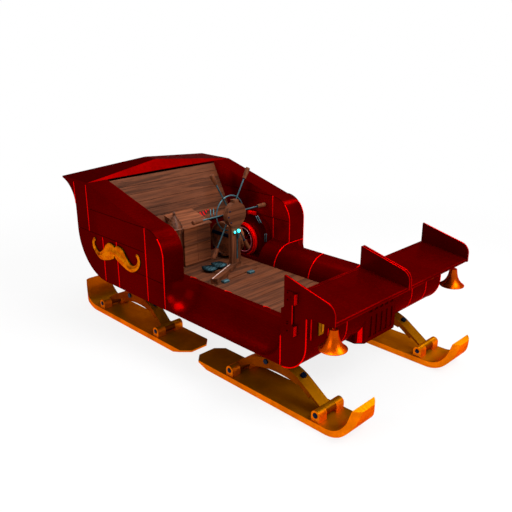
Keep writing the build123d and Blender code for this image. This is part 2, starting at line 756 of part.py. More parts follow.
# The right side repeats the left
for name in [name for name in pieces if name.endswith("_left")]:
    with BuildPart() as right:
        mirror(pieces[name].part, about=Plane.XZ)
    pieces[name.replace("_left", "_right")] = right

# Four of each runner piece: the rear skis face backwards, all arches face the same way
rear_shift = -(PIN_X[0] + PIN_X[1])
for row, shift in (("front", 0), ("rear", rear_shift)):
    for side in ("left", "right"):
        with BuildPart() as ski:
            add(ski_front_left.part)
            if row == "rear":
                mirror(about=Plane.YZ, mode=Mode.REPLACE)
            if side == "right":
                mirror(about=Plane.XZ, mode=Mode.REPLACE)
        pieces[f"ski_{row}_{side}"] = ski
        with BuildPart() as arch:
            with Locations((shift, 0, 0)):
                add(arches[row][0].part)
            if side == "right":
                mirror(about=Plane.XZ, mode=Mode.REPLACE)
        pieces[f"arch_{row}_{side}"] = arch

with BuildPart() as ski_pins:
    add(pins_front_left.part)
    mirror(about=Plane.YZ)
    mirror(about=Plane.XZ)
pieces["ski_pins"] = ski_pins

with BuildPart() as arch_bolts:
    add(arches["front"][1].part)
    with Locations((rear_shift, 0, 0)):
        add(arches["rear"][1].part)
    mirror(about=Plane.XZ)
pieces["arch_bolts"] = arch_bolts

# Helm post: a flat post, hollowed on top for the head, with a slot for the lever
post_foot_z = FLOOR_TOP + POST_FOOT_H
head_plane = Plane(origin=(POST_FRONT, POST_Y, HEAD_Z), x_dir=(0, 1, 0), z_dir=(1, 0, 0))
post_rear = POST_FRONT - POST_D
with BuildPart() as helm_post:
    with BuildSketch(head_plane):
        with Locations((0, (post_foot_z - HEAD_Z) / 2)):
            Rectangle(POST_W, HEAD_Z - post_foot_z)
        Circle(HEAD_R + FIT, mode=Mode.SUBTRACT)
    extrude(amount=-POST_D)
    with BuildSketch(head_plane):
        with Locations((LEVER_SLOT_AT[0], LEVER_SLOT_AT[1] - HEAD_Z)):
            Rectangle(*LEVER_SLOT)
    extrude(amount=-LEVER_SLOT_D, mode=Mode.SUBTRACT)
pieces["helm_post"] = helm_post

# Round head, proud of the post in front, with a block on top and a blind bore for the axle
with BuildPart() as helm_head:
    with BuildSketch(head_plane.offset(HEAD_PROUD)):
        Circle(HEAD_R)
        with Locations((0, HEAD_R + HEAD_BLOCK[1] / 2 - 6)):
            Rectangle(*HEAD_BLOCK)
    extrude(amount=-POST_D - HEAD_PROUD)
    with BuildSketch(head_plane.offset(-POST_D)):
        Circle(AXLE_R + FIT)
    extrude(amount=AXLE_IN, mode=Mode.SUBTRACT)
pieces["helm_head"] = helm_head

# Lever in the slot, with an arm that carries two knobs
lever_y = POST_Y + LEVER_SLOT_AT[0]
lever_low = LEVER_SLOT_AT[1] - LEVER_SLOT[1] / 2
arm_z = KNOBS[0][1] - KNOBS[0][2] - ARM_H
arm_ends = [POST_Y + row[0] for row in KNOBS]
lever_top = LEVER_SLOT_AT[1] + LEVER_SLOT[1] / 2 - LEVER_W
with BuildPart() as lever:
    with BuildSketch(Plane.XZ.offset(-lever_y - LEVER_W / 2)):
        Polygon(
            (POST_FRONT - LEVER_SLOT_D, lever_low),
            (POST_FRONT, lever_low),
            (POST_FRONT, lever_top - LEVER_W),
            (POST_FRONT + KNOB_OUT + LEVER_W / 2, lever_top - LEVER_W),
            (POST_FRONT + KNOB_OUT + LEVER_W / 2, arm_z),
            (POST_FRONT + KNOB_OUT - LEVER_W / 2, arm_z),
            (POST_FRONT + KNOB_OUT - LEVER_W / 2, lever_top),
            (POST_FRONT - LEVER_SLOT_D, lever_top),
            align=None,
        )
    extrude(amount=LEVER_W)
    with BuildSketch(Plane.YZ.offset(POST_FRONT + KNOB_OUT - LEVER_W / 2)):
        with Locations(((arm_ends[0] + arm_ends[1]) / 2, arm_z + ARM_H / 2)):
            Rectangle(arm_ends[0] - arm_ends[1] + LEVER_W, ARM_H)
    extrude(amount=LEVER_W)
pieces["lever"] = lever

with BuildPart() as lever_knobs:
    for knob_dy, knob_z, knob_r in KNOBS:
        knob_at = (POST_FRONT + KNOB_OUT, POST_Y + knob_dy)
        with Locations((*knob_at, knob_z)):
            Sphere(knob_r)
        with BuildSketch(Plane.XY.offset(arm_z + ARM_H)):
            with Locations(knob_at):
                Circle(knob_r / 2)
        extrude(amount=knob_z - arm_z - ARM_H)
pieces["lever_knobs"] = lever_knobs

# Base on the floor: a flat plate, and a beam from the post's foot towards the right
post_mid_x = POST_FRONT - POST_D / 2
beam_x = POST_FRONT + BEAM_END[0] - post_mid_x
beam_y = BEAM_END[1] - POST_Y
with BuildPart() as helm_base:
    with BuildSketch(Plane.XY.offset(FLOOR_TOP)):
        with Locations((POST_FRONT, 0)):
            Polygon(*BASE_PLAN, align=None)
    extrude(amount=BASE_T)
    with BuildSketch(Plane.XY.offset(FLOOR_TOP)):
        with Locations(
            Location(
                (post_mid_x + beam_x / 2, POST_Y + beam_y / 2, 0),
                (0, 0, math.degrees(math.atan2(beam_y, beam_x))),
            )
        ):
            Rectangle(math.hypot(beam_x, beam_y) + BEAM_W, BEAM_W)
        with Locations((post_mid_x, POST_Y)):
            Rectangle(POST_D + BASE_T, POST_W + BASE_T)
    extrude(amount=POST_FOOT_H)
pieces["helm_base"] = helm_base

with BuildPart() as base_blocks:
    with BuildSketch(Plane.XY.offset(FLOOR_TOP)):
        with Locations(*[(POST_FRONT + dx, y) for dx, y in BLOCKS_AT]):
            Rectangle(BLOCK[0], BLOCK[1])
    extrude(amount=BLOCK[2])
    chamfer(base_blocks.faces().sort_by(Axis.Z)[-2:].edges(), BLOCK[2] / 4)
pieces["base_blocks"] = base_blocks

# Leaf-shaped pedals on short stems, their tops sloping down towards the front
with BuildPart() as pedals:
    for dx, pedal_y in PEDALS_AT:
        pedal_x = POST_FRONT + dx
        with BuildSketch(Plane.XY.offset(FLOOR_TOP)):
            with Locations((pedal_x, pedal_y)):
                Circle(PEDAL_STEM[0] / 2)
        extrude(amount=PEDAL_STEM[1])
        leaf_plane = Plane(origin=(pedal_x, pedal_y, FLOOR_TOP + PEDAL_STEM[1])).rotated(
            (0, 0, PEDAL_TURN)
        )
        with BuildSketch(leaf_plane):
            with BuildLine():
                for side in (-1, 1):
                    ThreePointArc(
                        (-PEDAL[0] / 2, 0), (0, side * PEDAL[1] / 2), (PEDAL[0] / 2, 0)
                    )
            make_face()
        extrude(amount=PEDAL[2] + PEDAL_RISE)
        # The slope rises across the leaf, away from its front edge
        leaf_section = Plane(
            origin=leaf_plane.origin - leaf_plane.x_dir * (PEDAL[0] / 2),
            x_dir=leaf_plane.y_dir,
            z_dir=leaf_plane.x_dir,
        )
        slope_top = PEDAL[2] + PEDAL_RISE
        with BuildSketch(leaf_section):
            Polygon(
                (-PEDAL[1] / 2, PEDAL[2]),
                (PEDAL[1] / 2, slope_top),
                (-PEDAL[1] / 2, slope_top),
                align=None,
            )
        extrude(amount=PEDAL[0], mode=Mode.SUBTRACT)
pieces["pedals"] = pedals

# Helm: a hub on an axle in the post's bore, six steel spokes, a ring and turned grips
hub_front = POST_FRONT - POST_D - HELM_GAP
wheel_x = hub_front - HUB_T / 2
spoke_turns = [360 / SPOKES * spoke for spoke in range(SPOKES)]
wheel_plane = Plane(origin=(wheel_x, POST_Y, HEAD_Z), x_dir=(0, 1, 0), z_dir=(1, 0, 0))


def spoke_plane(turn, start):
    """A plane across a spoke, with its normal along it, at a distance from the hub's axis."""
    angle = math.radians(turn)
    out = (0, math.cos(angle), math.sin(angle))
    return Plane(
        origin=(wheel_x, POST_Y + start * out[1], HEAD_Z + start * out[2]),
        x_dir=(1, 0, 0),
        z_dir=out,
    )


with BuildPart() as helm_hub:
    with BuildSketch(wheel_plane.offset(-HUB_T / 2)):
        Circle(HUB_R)
        Circle(AXLE_R, mode=Mode.SUBTRACT)
    extrude(amount=HUB_T)
    for turn in spoke_turns:
        with BuildSketch(spoke_plane(turn, SPOKE_IN)):
            Circle(SPOKE_R + FIT)
        extrude(amount=HUB_R, mode=Mode.SUBTRACT)
pieces["helm_hub"] = helm_hub

with BuildPart() as helm_axle:
    with BuildSketch(wheel_plane.offset(-HUB_T / 2)):
        Circle(AXLE_R - FIT)
    extrude(amount=HUB_T + HELM_GAP + AXLE_IN - HELM_GAP / 2)
pieces["helm_axle"] = helm_axle

with BuildPart() as helm_wheel:
    for turn in spoke_turns:
        with BuildSketch(spoke_plane(turn, SPOKE_IN + FIT)):
            Circle(SPOKE_R)
        extrude(amount=SPOKE_END + GRIP_SOCKET - SPOKE_IN - 2 * FIT)
    with Locations(wheel_plane.offset(-SPOKE_R - HELM_RING_TUBE / 2)):
        Torus(HELM_RING_R, HELM_RING_TUBE)
pieces["helm_wheel"] = helm_wheel

with BuildPart() as helm_grips:
    for turn in spoke_turns:
        across = spoke_plane(turn, SPOKE_END)
        with BuildSketch(Plane(origin=across.origin, x_dir=across.z_dir, z_dir=(0, -across.z_dir.Z, across.z_dir.Y))):
            with BuildLine():
                Line((0, 0), (0, 0.8 * GRIP_R))
                ThreePointArc(
                    (0, 0.8 * GRIP_R),
                    (0.5 * GRIP_LENGTH, 0.94 * GRIP_R),
                    (0.92 * GRIP_LENGTH, GRIP_R),
                )
                Polyline(
                    (0.92 * GRIP_LENGTH, GRIP_R),
                    (GRIP_LENGTH, 0.8 * GRIP_R),
                    (GRIP_LENGTH, 0),
                    (0, 0),
                )
            make_face()
        revolve(axis=Axis(across.origin, across.z_dir))
        with BuildSketch(across):
            Circle(SPOKE_R + FIT)
        extrude(amount=GRIP_SOCKET, mode=Mode.SUBTRACT)
pieces["helm_grips"] = helm_grips

# Locker built against the bulkhead, with a lid that rises to the backrest
def backrest_x(height):
    """The backrest's front face at a height above its foot."""
    return BACKREST_FOOT[0] + (height - BACKREST_FOOT[1]) * lean_x / lean_z


with BuildPart() as locker_body:
    with BuildSketch(Plane.XZ.offset(-LOCKER_HALF)):
        Polygon(
            (BACKREST_FOOT[0], FLOOR_TOP),
            (LOCKER_FRONT, FLOOR_TOP),
            (LOCKER_FRONT, LOCKER_TOP),
            (backrest_x(LOCKER_TOP), LOCKER_TOP),
            BACKREST_FOOT,
            align=None,
        )
    extrude(amount=2 * LOCKER_HALF)
    with BuildSketch(Plane.YZ.offset(LOCKER_FRONT)):
        for line_z in DRAWER_LINES:
            with Locations((0, FLOOR_TOP + line_z)):
                Rectangle(2 * LOCKER_HALF, GROOVE)
        with Locations((0, (FLOOR_TOP + LOCKER_TOP) / 2)):
            Rectangle(GROOVE, LOCKER_TOP - FLOOR_TOP)
    extrude(amount=-GROOVE, mode=Mode.SUBTRACT)
pieces["locker_body"] = locker_body

# The lid's top rises from its nose until it meets the backrest's lean
lid_rise = math.tan(math.radians(LID_RISE))
lid_top = LOCKER_TOP + LID_T
lid_run = LOCKER_FRONT - backrest_x(lid_top)
lid_end_z = lid_top + lid_run * lid_rise / (1 + lid_rise * lean_x / lean_z)
with BuildPart() as locker_lid:
    with BuildSketch(Plane.XZ.offset(-LOCKER_HALF - LID_NOSE)):
        Polygon(
            (backrest_x(LOCKER_TOP), LOCKER_TOP),
            (LOCKER_FRONT, LOCKER_TOP),
            (LOCKER_FRONT, lid_top),
            (backrest_x(lid_end_z), lid_end_z),
            align=None,
        )
        with Locations((LOCKER_FRONT, LOCKER_TOP + LID_T / 2)):
            Circle(LID_T / 2)
    extrude(amount=2 * LOCKER_HALF + 2 * LID_NOSE)
pieces["locker_lid"] = locker_lid

# Keg on its side, with recessed heads, a steel hoop and chocks
keg_length = KEG_Y[1] - KEG_Y[0]
keg_plane = Plane(origin=(KEG_AT[0], KEG_Y[0], KEG_AT[1]), x_dir=(1, 0, 0), z_dir=(0, 1, 0))
hoop_bed = KEG_R - HOOP_T
with BuildPart() as keg:
    with BuildSketch(keg_plane):
        Circle(KEG_R)
    extrude(amount=keg_length)
    for head, inward in ((keg_plane, 1), (keg_plane.offset(keg_length), -1)):
        with BuildSketch(head):
            Circle(KEG_R - KEG_RIM)
        extrude(amount=inward * KEG_HEAD_IN, mode=Mode.SUBTRACT)
    with BuildSketch(keg_plane.offset(HOOP_Y)):
        Circle(KEG_R)
        Circle(hoop_bed, mode=Mode.SUBTRACT)
    extrude(amount=HOOP_W, mode=Mode.SUBTRACT)
pieces["keg"] = keg

with BuildPart() as keg_hoops:
    with BuildSketch(keg_plane.offset(HOOP_Y)):
        Circle(KEG_R + HOOP_T)
        Circle(hoop_bed + FIT, mode=Mode.SUBTRACT)
    extrude(amount=HOOP_W)
pieces["keg_hoops"] = keg_hoops

# Chocks from the floor up to the keg's round, cut to its radius
with BuildPart() as keg_chocks:
    for side in (-1, 1):
        with BuildSketch(Plane.XY.offset(FLOOR_TOP)):
            with Locations((KEG_AT[0] + side * CHOCK_OUT, (KEG_Y[0] + FLOOR_HALF) / 2)):
                Rectangle(CHOCK[0], CHOCK[1])
        extrude(amount=KEG_AT[1] - KEG_R * 0.7 - FLOOR_TOP)
    with BuildSketch(keg_plane.offset(-CHOCK[1])):
        Circle(KEG_R + HOOP_T + FIT)
    extrude(amount=keg_length + 2 * CHOCK[1], mode=Mode.SUBTRACT)
pieces["keg_chocks"] = keg_chocks

# Blower drum on the left wall's inner face: casing and spindle, mouth ring, fan and clips
bore_r = DRUM_R - DRUM_WALL
fan_start = MOUTH_RING_T + FAN_GAP
with BuildPart() as blower_casing:
    with BuildSketch(drum_plane):
        Circle(DRUM_R)
    extrude(amount=DRUM_MOUTH)
    with BuildSketch(volute_plane):
        with Locations(volute_centre):
            Circle(VOLUTE_R)
    extrude(amount=VOLUTE_T)
    with BuildSketch(drum_plane):
        Circle(bore_r)
    extrude(amount=DRUM_MOUTH - DRUM_WALL, mode=Mode.SUBTRACT)
    with BuildSketch(drum_plane.offset(fan_start)):
        Circle(SPINDLE_R)
    extrude(amount=DRUM_MOUTH - DRUM_WALL - fan_start)
pieces["blower_casing"] = blower_casing

with BuildPart() as blower_ring:
    with BuildSketch(drum_plane):
        Circle(bore_r - FIT)
        Circle(bore_r - MOUTH_RING_W, mode=Mode.SUBTRACT)
    extrude(amount=MOUTH_RING_T)
pieces["blower_ring"] = blower_ring

fan_plane = drum_plane.offset(fan_start + BLADE_T)
with BuildPart() as blower_fan:
    with BuildSketch(fan_plane):
        Circle(FAN_HUB_R)
    extrude(amount=FAN_DEPTH)
    for blade in range(FAN_BLADES):
        turn = math.radians(360 / FAN_BLADES * blade)
        out = Vector(math.cos(turn), 0, -math.sin(turn))
        root = fan_plane.origin + Vector(0, FAN_DEPTH / 2, 0) + out * BLADE_ROOT
        chord = Vector(0, 1, 0).rotate(Axis((0, 0, 0), tuple(out)), 90 - BLADE_PITCH)
        with BuildSketch(Plane(origin=root, x_dir=chord, z_dir=out)):
            Rectangle(BLADE_W, BLADE_T)
        extrude(amount=FAN_R - BLADE_ROOT)
    with BuildSketch(fan_plane):
        Circle(SPINDLE_R + FIT)
    extrude(amount=FAN_DEPTH, mode=Mode.SUBTRACT)
pieces["blower_fan"] = blower_fan

# Double-bar clips on the casing's mouth rim
with BuildPart() as blower_clips:
    with BuildSketch(drum_plane):
        for clip_turn in CLIP_TURNS:
            with PolarLocations(DRUM_R - DRUM_WALL / 2, 1, 180 + clip_turn):
                with GridLocations(1, 2 * CLIP[1], 1, 2):
                    Rectangle(DRUM_WALL, CLIP[1])
    extrude(amount=-CLIP[2])
pieces["blower_clips"] = blower_clips

# Turned post with a stepped conical cap
capped_plane = Plane(origin=(*CAPPED_AT, 0), x_dir=(1, 0, 0), z_dir=(0, -1, 0))
cap_h = CAP_TIP_Z - CAP_RIM_Z
with BuildPart() as capped_post:
    with BuildSketch(capped_plane):
        with BuildLine():
            Polyline(
                (0, FLOOR_TOP),
                (CAPPED_R + 14, FLOOR_TOP),
                (CAPPED_R + 14, FLOOR_TOP + 40),
                (CAPPED_R, FLOOR_TOP + 55),
                (CAPPED_R, CAP_RIM_Z - 60),
                (CAP_R - 10, CAP_RIM_Z - 40),
                (CAP_R - 10, CAP_RIM_Z - 14),
                (CAP_R, CAP_RIM_Z - 10),
                (CAP_R, CAP_RIM_Z),
                (0.74 * CAP_R, CAP_RIM_Z + 0.22 * cap_h),
                (0.74 * CAP_R - 5, CAP_RIM_Z + 0.22 * cap_h),
                (0.42 * CAP_R, CAP_RIM_Z + 0.5 * cap_h),
                (0.42 * CAP_R - 5, CAP_RIM_Z + 0.5 * cap_h),
                (0.15 * CAP_R, CAP_RIM_Z + 0.75 * cap_h),
                (0.17 * CAP_R, CAP_RIM_Z + 0.86 * cap_h),
                (0.03 * CAP_R, CAP_TIP_Z),
                (0, CAP_TIP_Z),
                (0, FLOOR_TOP),
            )
        make_face()
    revolve(axis=Axis((*CAPPED_AT, 0), (0, 0, 1)))
pieces["capped_post"] = capped_post

# The origin goes under the middle of the whole sleigh
middle_x = (tip_sole[0] + TIP_X) / 2
for name, piece in pieces.items():
    placed = piece.part.moved(Location((-middle_x, 0, 0)))
    placed.label = name
    export_step(placed, f"parts/{name}.step")
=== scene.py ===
import math

import bmesh
import bpy
import numpy as np
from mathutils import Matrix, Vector


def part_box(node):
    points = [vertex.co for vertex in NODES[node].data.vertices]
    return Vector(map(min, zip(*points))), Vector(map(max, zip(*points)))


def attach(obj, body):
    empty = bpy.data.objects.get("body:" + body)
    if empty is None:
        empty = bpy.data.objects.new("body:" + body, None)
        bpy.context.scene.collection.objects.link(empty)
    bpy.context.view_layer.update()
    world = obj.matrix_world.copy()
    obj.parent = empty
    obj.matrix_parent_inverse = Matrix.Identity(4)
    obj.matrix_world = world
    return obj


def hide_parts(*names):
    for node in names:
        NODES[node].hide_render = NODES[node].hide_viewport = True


bl_info = {
    "name": "Sleigh finisher",
    "version": (1, 0, 0),
    "blender": (4, 5, 0),
    "location": "View3D > Sidebar > Sleigh",
    "description": "Paints, carves and trims a four-runner sleigh around its packed solids",
    "category": "Object",
}

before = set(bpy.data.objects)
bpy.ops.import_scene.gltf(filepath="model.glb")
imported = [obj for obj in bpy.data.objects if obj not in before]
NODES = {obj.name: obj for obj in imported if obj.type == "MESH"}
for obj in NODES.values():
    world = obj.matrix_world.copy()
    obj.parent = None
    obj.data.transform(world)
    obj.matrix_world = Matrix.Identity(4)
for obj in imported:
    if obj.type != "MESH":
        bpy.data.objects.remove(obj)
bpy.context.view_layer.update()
SIDES = (("left", 1), ("right", -1))
X, Y, Z = np.eye(3)

# Places from the solids, in metres
(_, INNER_Y, WALL_LOW), (CABIN_FRONT, WALL_Y, _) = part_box("cabin_wall_left")
SHIFT = CABIN_FRONT + 0.25
SHOULDER_R = ROLL_R = NOSE_R = 0.25
SHOULDER_Z = 1.24
SILL_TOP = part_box("sill_left")[1].z
FLOOR_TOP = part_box("floor_boards")[1].z
NOSE_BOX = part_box("nose_block")
CENTRE_CHAMFER = 0.06
FIN_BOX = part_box("fins_left")
FIN_SLOPE = math.radians(14)
FIN_NOSE_R = 0.1
TRAY_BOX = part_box("tray_left")
PLATE_INNER_Y = 0.772
SCROLL_AT = (SHIFT - 1.057, 0.722)
HEAD_AT = np.array((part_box("helm_head")[1].x, 0.206, 1.129))
DRUM_AT = (SHIFT - 0.871, 0.625, 0.676)
DRUM_R = 0.2
VOLUTE_Y = DRUM_AT[1] + 0.057
VOLUTE_OFF = (0.1, 0.069)
VOLUTE_R = 0.247
BACKREST_FOOT = np.array((SHIFT - 1.205, 0, 0.9))
BACKREST_TOP = np.array((SHIFT - 1.52, 0, 1.494))


def amount(name, text, value, kind=bpy.props.FloatProperty, **more):
    return kind(name=name, description=text, default=value, **{"min": 0, **more})


def colour(*words):
    return amount(*words, bpy.props.FloatVectorProperty, subtype="COLOR", size=3, max=1)


def length(*words):
    return amount(*words, unit="LENGTH")


def share(*words):
    return amount(*words, subtype="FACTOR", max=1)


class SleighPaint(bpy.types.PropertyGroup):
    body: colour("Body red", "Lacquer on the walls, sills, nose and trays", (0.083, 0, 0))
    shade: colour("Shaded red", "Thicker, darker lacquer", (0.058, 0, 0))
    # Painted fill light: lighter red on the walls' inner faces, where they lie in shade
    lining: colour("Lining red", "Lighter lacquer on the walls' inner faces", (0.31, 0, 0))
    # Painted highlight: lighter red on the blower's barrel
    barrel: colour("Barrel red", "Lighter lacquer on the blower's barrel", (0.36, 0, 0))
    # Painted highlight red for the crest's forward faces
    crest: colour("Crest red", "Brighter lacquer on the crest", (0.2, 0, 0))
    # Painted highlight red for beads over seams and edges, where bevels catch the light
    trim: colour("Trim red", "Beads along seams and edges", (0.95, 0, 0))
    # Painted shade red for lines where grooves between panels lie in shadow
    line: colour("Line red", "Dark lines between panels", (0.016, 0, 0))
    gloss: share("Lacquer roughness", "Roughness of the lacquer", 0.27)
    peel: share("Orange peel", "Depth of the lacquer's ripple", 0.05)


class SleighWood(bpy.types.PropertyGroup):
    light: colour("Light wood", "Wood between the grain lines", (0.165, 0.049, 0.0195))
    dark: colour("Dark wood", "Grain lines", (0.062, 0.018, 0.007))
    warm: colour("Warm wood", "Redder streaks", (0.135, 0.036, 0.012))
    rough: share("Wood roughness", "Roughness of the oiled wood", 0.62)
    relief: share("Grain relief", "Depth of the grain", 0.45)


class SleighMetal(bpy.types.PropertyGroup):
    steel: colour("Blued steel", "Rods, lever and pedals", (0.06, 0.125, 0.145))
    navy: colour("Dark blue", "Bolts, clips and hoops", (0.002, 0.009, 0.028))
    gilt: colour("Gilt", "Plates and straps", (0.36, 0.125, 0.0008))
    bell: colour("Bell gold", "Bells", (0.66, 0.078, 0.0004))
    runner: colour("Runner brass", "Sides of the skis", (0.95, 0.19, 0.0005))
    strap: colour("Strap brass", "Sides of the arches", (0.21, 0.038, 0.0002))
    # Painted shade: a darker colour on the skis' upper faces
    patina: colour("Patina", "Upper faces of the skis", (0.47, 0.155, 0.0006))
    rough: share("Metal roughness", "Roughness of the brass", 0.38)


class SleighTrim(bpy.types.PropertyGroup):
    bead: length("Bead radius", "Radius of the beads over the seams", 0.0055)
    # Lines of painted shade, where grooves lie in shadow
    line: length("Line radius", "Radius of the dark lines between panels", 0.0028)
    cap: length("Fin cap radius", "Radius of the roll along a fin's edge", 0.0062)
    rise: length("Scroll rise", "How far the scroll stands out", 0.0385)
    flutes: amount("Scroll flutes", "Flutes across the scroll", 2, bpy.props.IntProperty, min=1)
    turns: amount("Spoke turns", "Turns of a twisted spoke", 6)


class SleighStage(bpy.types.PropertyGroup):
    floor: colour("Floor", "Pale floor", (0.9, 0.9, 0.9))
    glow: share("Floor glow", "Share of the floor's own white near the sleigh", 0.82)
    world: amount("World light", "Strength of the light from all round", 0.55)
    key: amount("Key lamp", "Power in watts", 330)
    fill: amount("Fill lamp", "Power in watts", 120)
    sparkle: amount("Sparkle lamps", "Watts of the lamps that only show in the gloss", 110)
    top: amount("Top lamp", "Power in watts", 170)
    view: amount("Camera angle", "Field of view", math.radians(45), subtype="ANGLE")


def unit(rows):
    rows = np.asarray(rows, float)
    return rows / np.linalg.norm(rows, axis=-1, keepdims=True)


def grid_faces(rows, columns):
    """Quads between neighbouring rows of closed rings."""
    row, column = np.arange(rows - 1)[:, None] * columns, np.arange(columns)[None, :]
    beside = (column + 1) % columns
    quads = (row + column, row + columns + column, row + columns + beside, row + beside)
    return np.stack(quads, -1).reshape(-1, 4)


def skin(rows):
    """A closed skin over rows of closed rings, with a middle point at each end."""
    rows = np.asarray(rows, float)
    count, columns = rows.shape[:2]
    points = np.concatenate((rows.reshape(-1, 3), rows[[0, -1]].mean(1)))
    column = np.arange(columns)
    beside = (column + 1) % columns
    first, far = count * columns, (count - 1) * columns
    low = np.stack((0 * column + first, column, beside), -1)
    high = np.stack((0 * column + first + 1, far + beside, far + column), -1)
    return points, [grid_faces(count, columns), low, high]


def circle(columns):
    turn = np.linspace(0, 2 * np.pi, columns, endpoint=False)
    return np.stack((np.cos(turn), np.sin(turn)), -1)


# The rings at a bead's end: distance along it in radii, and size
BEAD_END = ((0, 0.3), (0.1, 0.62), (0.5, 0.94))


def bead(path, radius, up, columns=8, closed=False, twist=0, outline=None):
    """A bar along a path, round unless an outline is given, turned by twist turns on its way.

    point = path + radius * (outline x * side + outline y * lift), where side is the path's
    direction crossed with up, and lift is side crossed with the direction. Both ends are rounded.
    """
    path = np.asarray(path, float)
    if closed:
        ahead = unit(np.roll(path, -1, 0) - np.roll(path, 1, 0))
        rings = np.full(len(path), float(radius))
    else:
        run, sizes = np.array(BEAD_END).T
        start = path[0] + unit(path[1] - path[0]) * radius * run[:, None]
        end = path[-1] + unit(path[-2] - path[-1]) * radius * run[::-1, None]
        path = np.concatenate((start, path[1:-1], end))
        ahead = unit(np.gradient(path, axis=0))
        rings = radius * np.concatenate((sizes, np.ones(len(path) - 2 * len(run)), sizes[::-1]))
    side = unit(np.cross(ahead, up))
    lift = np.cross(side, ahead)
    turn = 2 * np.pi * twist * np.linspace(0, 1, len(path))[:, None]
    side, lift = (
        np.cos(turn) * side + np.sin(turn) * lift,
        np.cos(turn) * lift - np.sin(turn) * side,
    )
    shape = circle(columns) if outline is None else outline
    offset = shape[None, :, 0, None] * side[:, None] + shape[None, :, 1, None] * lift[:, None]
    rows = path[:, None] + rings[:, None, None] * offset
    if not closed:
        return skin(rows)
    count, columns = rows.shape[:2]
    return rows.reshape(-1, 3), [grid_faces(count + 1, columns) % (count * columns)]


def edging(path, side, radius, up, columns=8):
    """A bead along a path that is given on the left, on either side."""
    return bead(np.asarray(path, float) * (1, side, 1), radius, up, columns)


def turned(profile, at, axis, columns):
    """A profile of (radius, height) rows spun round an axis through a point."""
    radius, height = np.asarray(profile, float).T[..., None, None]
    axis = unit(axis)
    side = unit(np.cross(axis, X if abs(axis[0]) < 0.9 else Y))
    ring = circle(columns)
    spread = ring[:, :1] * side + ring[:, 1:] * np.cross(axis, side)
    return skin(np.asarray(at, float) + height * axis + radius * spread)


def cushioned_box(low, high, round_by):
    """A box with rounded edges: a ball whose eighths are moved apart to the box's corners."""
    low, high = np.minimum(low, high).astype(float), np.maximum(low, high).astype(float)
    middle, half = (low + high) / 2, (high - low) / 2
    inner = np.maximum(half - round_by, 0)
    lat = np.linspace(-np.pi / 2, np.pi / 2, 12)[:, None]
    lon = np.linspace(0, 2 * np.pi, 20, endpoint=False) + np.pi / 20
    level, up = np.cos(lat), np.sin(lat) + 0 * lon
    ball = np.stack((level * np.cos(lon), level * np.sin(lon), up), -1)
    return skin(middle + np.sign(ball) * inner + ball * np.minimum(round_by, half))


def piece(name, parts, material, body="sleigh", smooth=True, replaces=()):
    """One object from (points, face arrays) parts, its normals outwards, riding on a body."""
    points, faces = [], []
    for part_points, part_faces in parts:
        for block in part_faces:
            faces.extend((block + len(points)).tolist())
        points.extend(part_points.tolist())
    mesh = bpy.data.meshes.new(name)
    mesh.from_pydata(points, [], faces)
    work = bmesh.new()
    work.from_mesh(mesh)
    bmesh.ops.remove_doubles(work, verts=work.verts, dist=1e-6)
    bmesh.ops.dissolve_degenerate(work, edges=work.edges, dist=1e-7)
    bmesh.ops.recalc_face_normals(work, faces=work.faces)
    for face in work.faces:
        face.smooth = smooth
    work.to_mesh(mesh)
    work.free()
    mesh.materials.append(material)
    made = bpy.data.objects.new(name, mesh)
    bpy.context.scene.collection.objects.link(made)
    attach(made, body)
    for node in replaces:
        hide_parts(node)
    return made


def arc(middle, radius, start, end, count, flat=(X, Z)):
    """Points on an arc in the plane of two axes, from start to end degrees."""
    turn = np.radians(np.linspace(start, end, count))[:, None]
    across, up = flat
    return np.asarray(middle, float) + radius * (np.cos(turn) * across + np.sin(turn) * up)


def loop(middle, radius, count, flat=(X, Z)):
    """Points all round a circle, without a last one on the first."""
    return arc(middle, radius, 0, 360 * (count - 1) / count, count, flat)


def outward(degrees, flat=(X, Z)):
    """The unit vector at an angle in the plane of two axes."""
    return math.cos(math.radians(degrees)) * flat[0] + math.sin(math.radians(degrees)) * flat[1]


class Nodes:
    """The emptied node tree of a material or world, with short calls to add and join nodes."""

    def __init__(self, owner):
        owner.use_nodes = True
        self.tree = owner.node_tree
        self.tree.nodes.clear()

    def add(self, kind, **values):
        made = self.tree.nodes.new(kind)
        for name, value in values.items():
            setattr(made, name, value)
        return made

    def put(self, value, socket):
        """Joins a node's output to a socket, or sets a number or a colour there."""
        if isinstance(value, bpy.types.NodeSocket):
            self.tree.links.new(value, socket)
        else:
            socket.default_value = (*value, 1) if socket.type == "RGBA" else value

    def fill(self, node, *first, **values):
        """Puts values on a node's first sockets in their order, and others by name."""
        for value, socket in zip(first, node.inputs):
            self.put(value, socket)
        for name, value in values.items():
            self.put(value, node.inputs[name.replace("_", " ")])
        return node

    def mixed(self, *values):
        """Two shaders mixed by a factor."""
        return self.fill(self.add("ShaderNodeMixShader"), *values).outputs[0]


